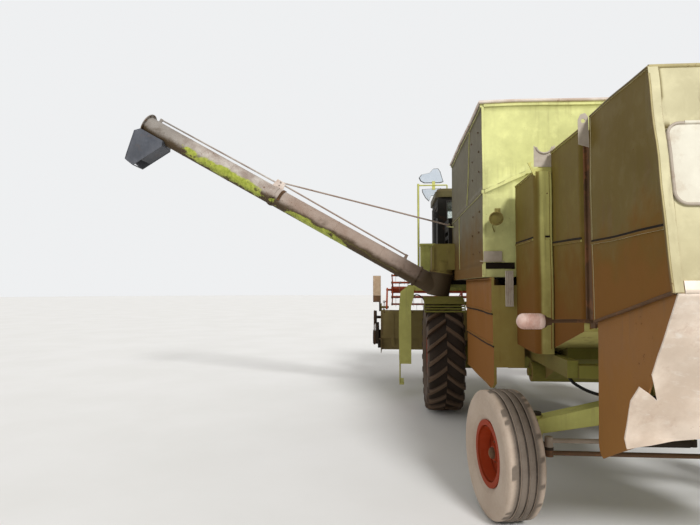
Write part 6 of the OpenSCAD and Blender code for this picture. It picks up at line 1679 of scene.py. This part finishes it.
wheelX, wheelRadius = cabSetup["wheelX"], cabSetup["wheelRadius"]
tilt = Matrix.Rotation(math.radians(cabSetup["wheelTilt"]), 4, "Y")
wheelBase = Matrix.Translation(at(wheelX, 0, base + cabSetup["wheelUp"])) @ tilt
hubProfile = [(0.0, -0.02), (0.038, -0.02), (0.040, 0.0), (0.034, 0.012), (0.018, 0.018), (0.0, 0.019)]
footProfile = [(0.0, 0.0), (0.062, 0.0), (0.060, 0.012), (0.040, 0.050), (0.032, 0.10), (0.0, 0.10)]
spoke = ((0.02, -0.012), (0.08, -0.010), (0.182, 0.0))
steering = bmesh.new()
tube(steering, [wheelBase @ Vector((u, v, 0)) for u, v in circleOutline(wheelRadius, 48)], 0.0125, 12,
    closed=True)
for angle in (90, 210, 330):
    u, v = math.cos(math.radians(angle)), math.sin(math.radians(angle))
    tube(steering, [wheelBase @ Vector((r * u, r * v, z)) for r, z in spoke], 0,
        outline=rectangle(0.012, 0.003), side=(0, 0, 1))
turned(steering, hubProfile, wheelBase, steps=32)
tube(steering, [at(wheelX + 0.09, 0, base + 0.01), at(wheelX, 0, base + 0.61)], 0.030, 20)
turned(steering, footProfile, Matrix.Translation(at(wheelX + 0.09, 0, base)), steps=24)
keep("steering_wheel", steering, "blackPlastic", "chassis")
levers, y = bmesh.new(), cabSetup["leverY"]
knobProfile = [(0.0, -0.016), (0.012, -0.014), (0.018, 0.0), (0.012, 0.014), (0.0, 0.016)]
box(levers, bySeat(-0.16, -0.36, 0), bySeat(0.22, -0.27, 0.42))
for x, height in cabSetup["levers"]:
    rod = [bySeat(x, y, 0.41), bySeat(x + 0.01, y, 0.50), bySeat(x + 0.03, y, 0.41 + height)]
    tube(levers, bend(rod, 0.03), 0.006, 8)
    turned(levers, knobProfile, Matrix.Translation(bySeat(x + 0.03, y, 0.42 + height)), steps=16)
for y in cabSetup["pedals"]:
    tube(levers, [at(1.74, y, base), at(1.70, y, base + 0.10), at(1.71, y, base + 0.16)], 0.009, 8)
    box(levers, at(1.672, y - 0.035, base + 0.135), at(1.684, y + 0.035, base + 0.215))
keep("levers_pedals", levers, "blackPlastic", "chassis", edge=0.003)

# Cab outside: window rubbers and wiper; the radiator's wire screen
windows = {  # from, to across the wall, low, high
    "front": (-1.15, 1.15, 1.76, 2.89), "rear": (-1.08, 1.08, 2.62, 2.89),
    "left": (1.63, 1.88, 1.94, 2.89), "right": (0.92, 1.88, 1.94, 2.89)}
wallX, wallY = {"front": 1.952, "rear": 0.848}, {"left": 1.222, "right": -1.222}
rubbers = bmesh.new()
for wall, (start, end, low, high) in windows.items():
    corners = [(start, low, 0), (end, low, 0), (end, high, 0), (start, high, 0)]
    if wall in wallX:
        path = [at(wallX[wall], point.x, point.y) for point in loopRow(corners, 0.2)]
    else:
        path = [at(point.x, wallY[wall], point.y) for point in loopRow(corners, 0.2)]
    tube(rubbers, path, 0.010, 8, closed=True)
tube(rubbers, bend([at(1.965, 0.30, 2.90), at(1.985, 0.24, 2.60), at(1.985, 0.05, 2.20)], 0.05), 0.006, 8)
tube(rubbers, [at(1.978, 0.12, 2.45), at(1.978, -0.02, 1.98)], 0.008, 8)
keep("window_rubbers", rubbers, "blackPlastic", "chassis")
screenSetup = {"place": (0.55, -1.182, 2.08), "rings": 8, "step": 0.029, "spokes": 36, "spoke": (0.02, 0.236)}
screen = bmesh.new()
x, y, z = screenSetup["place"]
for i in range(1, screenSetup["rings"] + 1):
    ring = circleAt(at(x, y, z), (1, 0, 0), (0, 0, 1), i * screenSetup["step"], 28)
    tube(screen, ring, 0.0026, 5, closed=True)
for u, v in circleOutline(1.0, screenSetup["spokes"]):
    tube(screen, [at(x, y - 0.002, z) + Vector((u * r, 0, v * r)) for r in screenSetup["spoke"]], 0.0022, 5)
turned(screen, [(0.0, 0.0), (0.035, 0.0), (0.030, 0.012), (0.0, 0.014)],
    aimed(at(x, y + 0.002, z), (0, -1, 0)), steps=20)
keep("radiator_screen", screen, "workedSteel", "chassis")

# Platform: raised grip on the walkway
bump = lathe([(0.0, 0.0), (0.012, 0.0), (0.006, 0.0022), (0.0, 0.0024)],
    Matrix.Diagonal((1.0, 0.4, 1.0, 1.0)), steps=8)
gripSetup = {"first": (0.79, 1.25, 1.6395), "step": (0.033, 0.034), "count": (24, 10)}
spots, (x, y, z), (stepX, stepY) = [], gripSetup["first"], gripSetup["step"]
for i in range(gripSetup["count"][0]):
    for k in range(gripSetup["count"][1]):
        turn = (1, 1, 0) if (i + k) % 2 else (1, -1, 0)
        spots.append((at(x + i * stepX, y + k * stepY, z), (0, 0, 1), turn))
placeCopies("walkway_grip", bump, spots, "freshPaint", "chassis", uneven=0.1)
print("cab and platform made")

# Hoses: one sags over the rear axle, one arches at the header's back


hoseSetups = {
    "axle_hose": {"body": "chassis", "diameter": 0.022, "through": [(-3.24, 0.62, 0.985), (-3.30, 0.60, 0.93),
        (-3.36, 0.48, 0.868), (-3.40, 0.30, 0.845), (-3.41, 0.12, 0.850), (-3.40, -0.02, 0.880),
        (-3.36, -0.10, 0.94), (-3.30, -0.12, 0.995)]},
    "header_hose": {"body": "header", "diameter": 0.020, "through": [(1.955, 1.62, 1.16), (1.90, 1.62, 1.24),
        (1.88, 1.60, 1.36), (1.90, 1.55, 1.45), (1.94, 1.47, 1.47), (1.96, 1.38, 1.40), (1.965, 1.34, 1.28),
        (1.975, 1.33, 1.205)]},
}


def hose(name, setup):
    path = bend([at(*place) for place in setup["through"]], 0.03)
    bm = bmesh.new()
    tube(bm, path, setup["diameter"] / 2, 12)
    piece = keep(name, bm, "hoseRubber", setup["body"], sharp=180)


for name, setup in hoseSetups.items():
    hose(name, setup)
print("hoses made")

# The CAD's own solids that stay in sight
finishes = {
    "framePaint": "frame cleaning_shoe mudguards front_axle", "freshPaint": "rear_axle",
    "darkIron": "engine cab_frame cab_door belt_drives header_drives knuckle_left knuckle_right "
        "steer_barrel reel_barrels lift_barrels",
    "bareSheet": "straw_walkers", "spoutSheet": "auger_spout", "augerPaint": "auger_tube",
    "rustyIron": "tie_rod", "shinySteel": "reel_rods lift_rods", "redPaint": "reel reel_arms",
    "rimPaint": "rim_front_left rim_front_right rim_rear_left rim_rear_right",
    "paneGlass": "cab_glass", "blackPlastic": "controls"}
finishOf = {node: finish for finish, names in finishes.items() for node in names.split()}
for name, part in nodes.items():
    part.data.materials.clear()
    part.data.materials.append(look[finishOf.get(name, "workedSteel")])
print("CAD nodes finished")

# Floor and background

def makeFloor():
    bm = bmesh.new()
    bmesh.ops.create_circle(bm, cap_ends=True, radius=90, segments=96)
    mesh = bpy.data.meshes.new("floor")
    bm.to_mesh(mesh)
    floor = bpy.data.objects.new("floor", mesh)
    scene.collection.objects.link(floor)
    material, tree, surface, where = newMaterial("floorPaint", rough=0.9)
    tone = noiseIn(tree, where["Object"], 0.7, 4.0)
    tree.links.new(mixIn(tree, rangeIn(tree, tone, 0.3, 0.7), (0.72, 0.715, 0.70), (0.75, 0.745, 0.735)),
        surface.inputs["Base Color"])
    mesh.materials.append(material)


makeFloor()

world = bpy.data.worlds.new("studio")
scene.world = world
world.use_nodes = True
tree = world.node_tree
light = tree.nodes["Background"]
light.inputs["Color"].default_value = (1.0, 0.98, 0.94, 1)
light.inputs["Strength"].default_value = lightSetup["world"]
backdrop = nodeIn(tree, "ShaderNodeBackground")
backdrop.inputs["Color"].default_value = (0.86, 0.87, 0.88, 1)
path = nodeIn(tree, "ShaderNodeLightPath")
seen = mathIn(tree, "MAXIMUM", path.outputs["Is Camera Ray"],
    mathIn(tree, "MAXIMUM", path.outputs["Is Glossy Ray"], path.outputs["Is Transmission Ray"]))
blend = nodeIn(tree, "ShaderNodeMixShader")
tree.links.new(seen, blend.inputs[0])
tree.links.new(light.outputs[0], blend.inputs[1])
tree.links.new(backdrop.outputs[0], blend.inputs[2])
tree.links.new(blend.outputs[0], tree.nodes["World Output"].inputs["Surface"])
print("studio ready")
